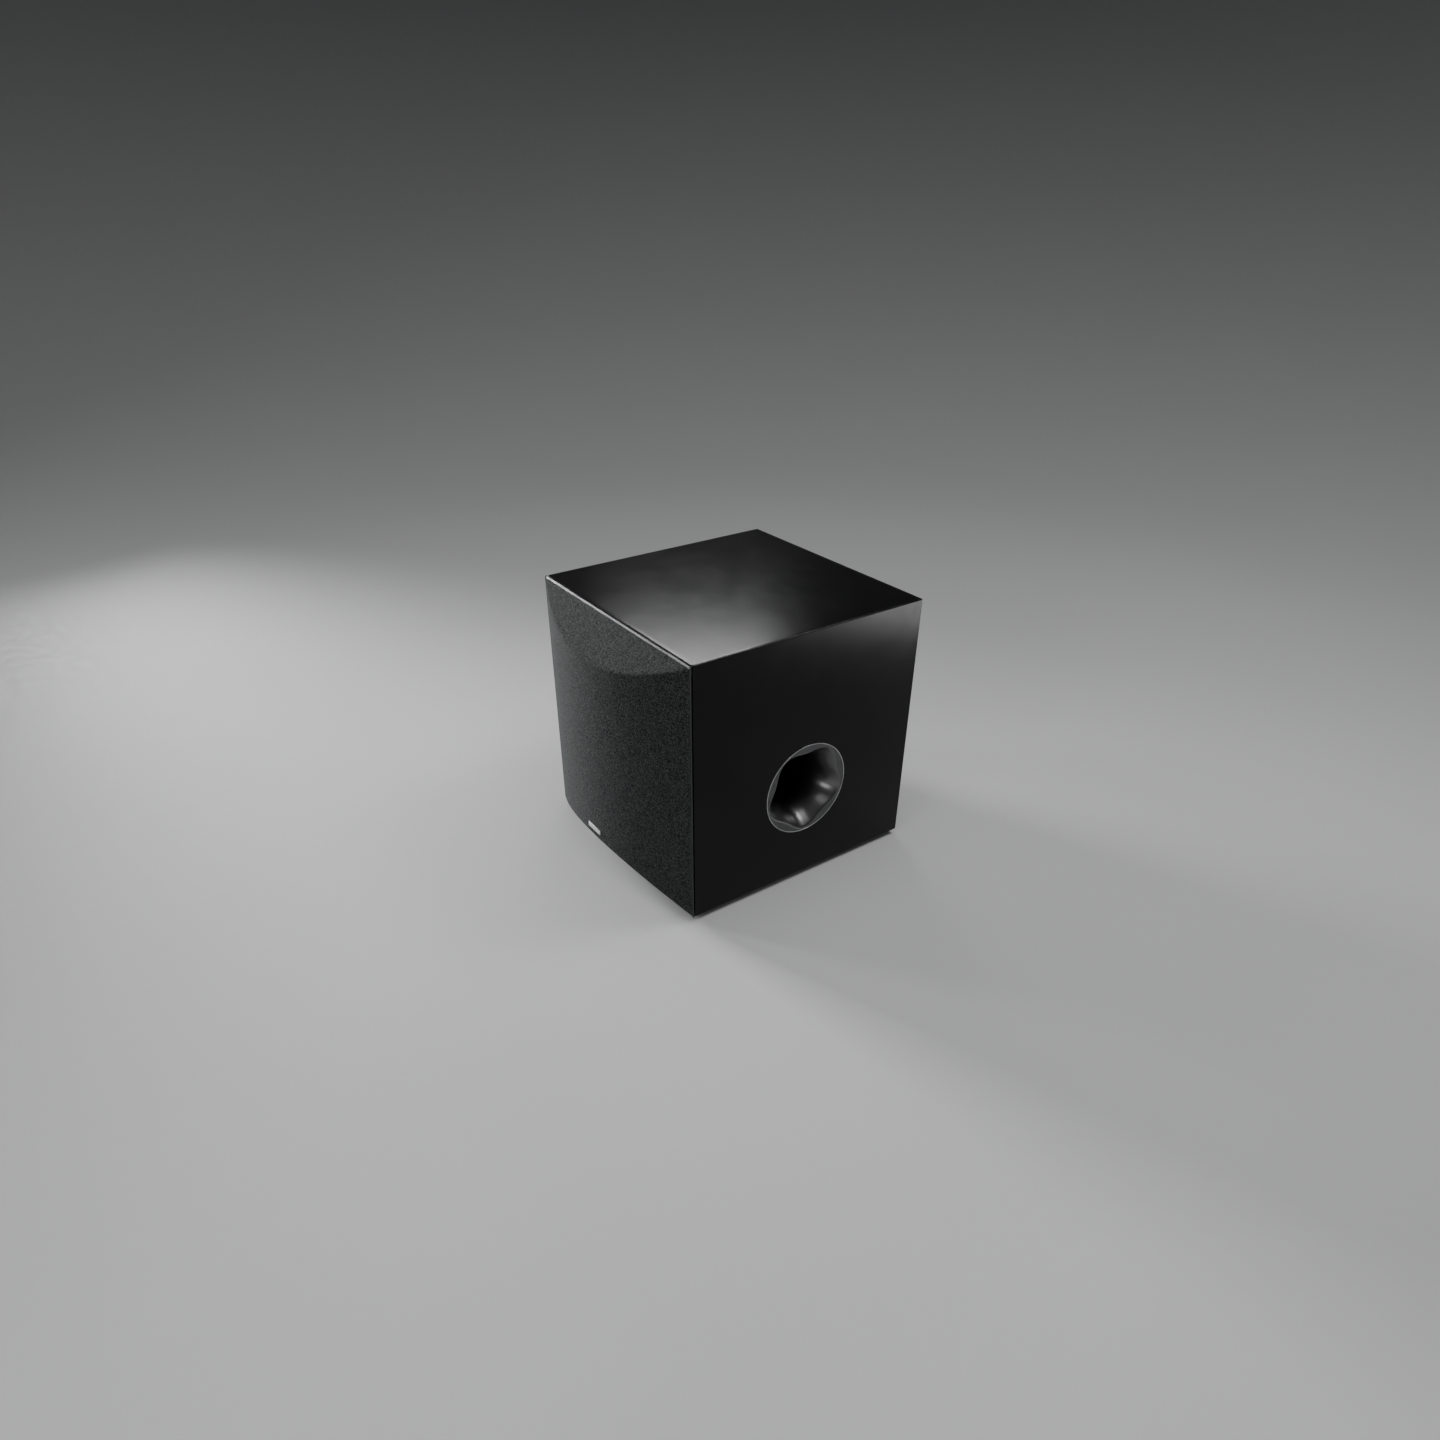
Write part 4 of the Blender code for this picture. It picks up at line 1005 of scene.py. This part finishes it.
def jacks():
    """Phono jacks with hexagon seats, threaded barrels and coloured insulators."""
    for side, colour in (("left", "white_plastic"), ("right", "red_plastic")):
        x, _, z = node_middle(f"input_jack_{side}")
        at = (x, PLATE_FACE, z)
        thread, root, crest, pitch, y = [(4.6, 1.0)], 4.1, 4.25, 0.55, 1.3
        while y < 8.3:
            thread += [(root, y), (crest, y + 0.25), (root, y + 0.5)]
            y += pitch
        barrel = [(3.1, 8.6), (3.3, 9.0), (3.9, 9.0)] + list(reversed(thread)) + [(6.1, 1.0), (6.3, 0.8)]
        barrel += [(6.3, 0.05), (4.5, 0.05), (4.5, -8.8), (3.1, -8.8)]
        made = turned(f"jack_barrel_{side}", barrel, "nickel", "cabinet", at, steps=64)
        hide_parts(f"input_jack_{side}")
        sleeve = [(1.8, 8.2), (2.9, 8.4), (3.05, 8.2), (3.05, -8.6), (1.8, -8.6)]
        turned(f"jack_insulator_{side}", sleeve, colour, "cabinet", at, steps=48)
        ring = [(6.6, 0.05), (8.0, 0.05), (8.0, 0.35), (6.6, 0.35)]
        turned(f"jack_ring_{side}", ring, colour, "cabinet", at, steps=48)


def inlet_terminals_and_switch():
    """The mains inlet's pins, the screws beside it and the terminals, and the rocker's printed mark."""
    x, _, z = node_middle("mains_inlet")
    bm = bmesh.new()
    half_x, half_z, back, front = 1.1, 2.1, PLATE_FACE - 16.8, PLATE_FACE - 2.8
    for dx, dz in ((-7, -1.5), (0, 2.5), (7, -1.5)):
        low = (x + dx - half_x, back, z + dz - half_z)
        block(bm, low, (x + dx + half_x, front, z + dz + half_z), 0.35)
    place("inlet_pins", bm, "nickel", "cabinet")
    spots = [(x + side * 17.2, PLATE_FACE + 3.0, z) for side in (-1, 1)]
    screws("inlet_screws", spots, (0, 1, 0), 1.9, 1.2)
    x, _, z = node_middle("speaker_terminal_housing")
    face = node_box("speaker_terminal_housing")[1].y
    spots = [(x, face, z + side * 29.0) for side in (-1, 1)]
    screws("terminal_screws", spots, (0, 1, 0), 2.0, 1.3)
    bm, mark = bmesh.new(), bmesh.new()
    block(mark, (-0.4, 7.1, 4.6), (0.4, 7.24, 8.0))
    lean = Matrix.Rotation(-math.atan2(1.7, 10.6), 4, "X")  # along the rocker's sloping half
    lean = Matrix.Translation((0, 6.98, 6.3)) @ lean @ Matrix.Translation((0, -7.17, -6.3))
    x, z = node_middle("power_rocker").x, node_middle("power_switch_housing").z
    tilt = Matrix.Translation((x, PLATE_FACE - 3.0, z)) @ Matrix.Rotation(math.radians(7.0), 4, "X")
    join_mesh(bm, mark, tilt @ lean)
    mark.free()
    place("rocker_mark", bm, "print_white", "power_rocker")


def feet():
    """Turned rubber feet, hollow round their screws."""
    spots = []
    for end in ("front", "back"):
        for side in ("left", "right"):
            low, high = node_box(f"foot_{end}_{side}")
            centre = (low + high) / 2
            spots.append((centre.x, centre.y, low.z + 2.2))
            name = f"foot_pad_{end}_{side}"
            radius, bore, top = (high.x - low.x) / 2, 3.0, high.z - 0.1
            sole = radius - 2.8
            profile = [(bore, 2.4), (6.4, 2.0), (6.8, 0.9), (7.6, 0.25), (sole - 1.0, 0.0)]
            profile += [(sole, 0.35), (radius - 1.9, 1.4), (radius, high.z - 1.2)]
            profile += [(radius - 0.6, top), (bore, top)]
            made = turned(name, profile, "rubber", "cabinet", (centre.x, centre.y, 0), "Z", 72)
            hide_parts(f"foot_{end}_{side}")
    screws("foot_screws", spots, (0, 0, -1), 4.2, 1.4)


def damping():
    """Uneven wadding stapled to the left wall."""
    low, high = node_box("damping_pad")
    rows, columns = 54, 42
    _, mid_y, mid_z = node_middle("damping_pad")
    half_y, half_z = (high.y - low.y) / 2, (high.z - low.z) / 2

    corners = [(-1, -1), (1, -1), (1, 1), (-1, 1)]
    outline = [
        (y0 + (y1 - y0) * i / columns, z0 + (z1 - z0) * i / columns)
        for (y0, z0), (y1, z1) in zip(corners, corners[1:] + corners[:1])
        for i in range(columns)
    ]

    def ring(t, x_at):
        return [(x_at, mid_y + y * t * half_y, mid_z + z * t * half_z) for y, z in outline]

    bm = bmesh.new()
    rings = [ring(i / rows, low.x) for i in range(1, rows + 1)]
    rings += [ring((rows - i) / rows, high.x) for i in range(rows)]
    verts = loft(bm, rings, capped=True)
    thick = high.x - low.x
    for row in verts[rows:]:
        for vert in row:
            edge_y = 1 - abs(vert.co.y - mid_y) / half_y
            edge_z = 1 - abs(vert.co.z - mid_z) / half_z
            crown = min(1.0, 6 * min(edge_y, edge_z)) ** 0.5
            lump = noise.noise(vert.co / 22.0) * 0.22 + noise.noise(vert.co / 7.0) * 0.1
            vert.co.x = low.x + thick * max(0.15, min(1.0, 0.3 + 0.55 * crown + lump * crown))
    pad = place("wadding_pad", bm, "felt", "cabinet", 80.0)
    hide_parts("damping_pad")


# Stage, light and camera


def sweep():
    """A pale floor that curves up into a backdrop on every side, painted darker with height as shade."""
    flat, curve, steps = 1800.0, 3000.0, 72
    profile = [(0.0, 0.0), (400.0, 0.0), (1200.0, 0.0)]
    profile += [
        (flat + curve * math.sin(a), curve * (1 - math.cos(a)))
        for a in (math.radians(5 * i) for i in range(18))
    ]
    bm = bmesh.new()
    around = [(math.cos(math.tau * i / steps), math.sin(math.tau * i / steps)) for i in range(steps)]
    loft(bm, [[(r * c, r * s, z) for c, s in around] for r, z in profile])
    paper = Finish("pale_paper", (0.6, 0.6, 0.6), 0.75)
    height = paper.node("ShaderNodeSeparateXYZ", {0: paper.where}).outputs[2]
    pale = paper.mix(paper.noise(300.0, 3.0), (0.59, 0.593, 0.595), (0.61, 0.613, 0.615))
    # Painted shade: the paper darkens with height, for light falling off away from the floor.
    paper.colour(paper.mix(paper.ranged(height, 0.0, 1.0, 0.05, 2.0), pale, (0.16, 0.162, 0.166)))
    paper.rough(paper.noise(20.0), 0.65, 0.8)
    extra["pale_paper"] = paper
    floor = place("floor", bm, "pale_paper", None)
    for face in floor.data.polygons:
        if face.normal.z < 0:
            face.flip()


def soft_box(name, at, target, size, radiance, spread=180):
    """A rectangular area light that the camera can't see. Metres, degrees."""
    light = bpy.data.lights.new(name, "AREA")
    light.shape = "RECTANGLE"
    light.size, light.size_y = size
    light.energy = radiance * math.pi * size[0] * size[1]
    light.spread = math.radians(spread)
    obj = bpy.data.objects.new(name, light)
    obj.location = at
    obj.rotation_mode = "QUATERNION"
    obj.rotation_quaternion = (Vector(target) - Vector(at)).to_track_quat("-Z", "Y")
    obj.visible_camera = False
    bpy.context.scene.collection.objects.link(obj)


def lights():
    """The key shows in the top, the bounce in the side; the low left lights rake the grille."""
    soft_box("key", (-0.957, 0.587, 1.07), (0.1, -0.1, 0.36), (0.42, 0.12), 3.9, spread=90)
    soft_box("overhead", (0.5, 0.2, 3.0), (0, 0, 0.3), (2.4, 2.4), 1.8)
    soft_box("edge", (-1.42, -1.25, 1.35), (0, -0.16, 0.3), (0.25, 0.3), 30.0)
    soft_box("left_graze", (-2.0, -0.72, 0.75), (0, -0.18, 0.2), (0.5, 1.0), 3.9, spread=50)
    soft_box("front_spot", (0.75, -1.7, 0.75), (0.17, 0.0, 0.15), (0.8, 0.7), 4.0)
    soft_box("rear_right", (0.62, 1.0, 1.85), (0.3, 0.3, 0.1), (0.6, 0.6), 9.0)
    soft_box("floor_bounce", (1.16, 1.17, 0.02), (1.16, 1.17, 1.0), (0.7, 0.7), 8.5)
    world = bpy.data.worlds.new("studio")
    world.use_nodes = True
    background = world.node_tree.nodes["Background"].inputs
    background["Color"].default_value = (0.8, 0.82, 0.85, 1.0)
    background["Strength"].default_value = 0.055
    bpy.context.scene.world = world


def camera():
    """Looks down on the grille's right-hand corner, from in front and to the right."""
    back = Vector((0.6947, -0.4819, 0.5340))
    data = bpy.data.cameras.new("camera")
    data.lens = 24.73
    data.sensor_width = 36.0
    data.shift_x, data.shift_y = 0.0061, 0.0486
    data.clip_start, data.clip_end = 0.01, 50.0
    obj = bpy.data.objects.new("camera", data)
    obj.location = (1.0015, -0.7102, 0.8279)
    obj.rotation_mode = "QUATERNION"
    obj.rotation_quaternion = (-back).to_track_quat("-Z", "Y")
    bpy.context.scene.collection.objects.link(obj)
    bpy.context.scene.camera = obj


camera()
sweep()
lights()
dress_cad_nodes()
vinyl_wrap()
grille_knit()
port_shell()
surround()
spider()
cone()
woofer_rim()
plate_edge()
dials()
jacks()
inlet_terminals_and_switch()
feet()
damping()
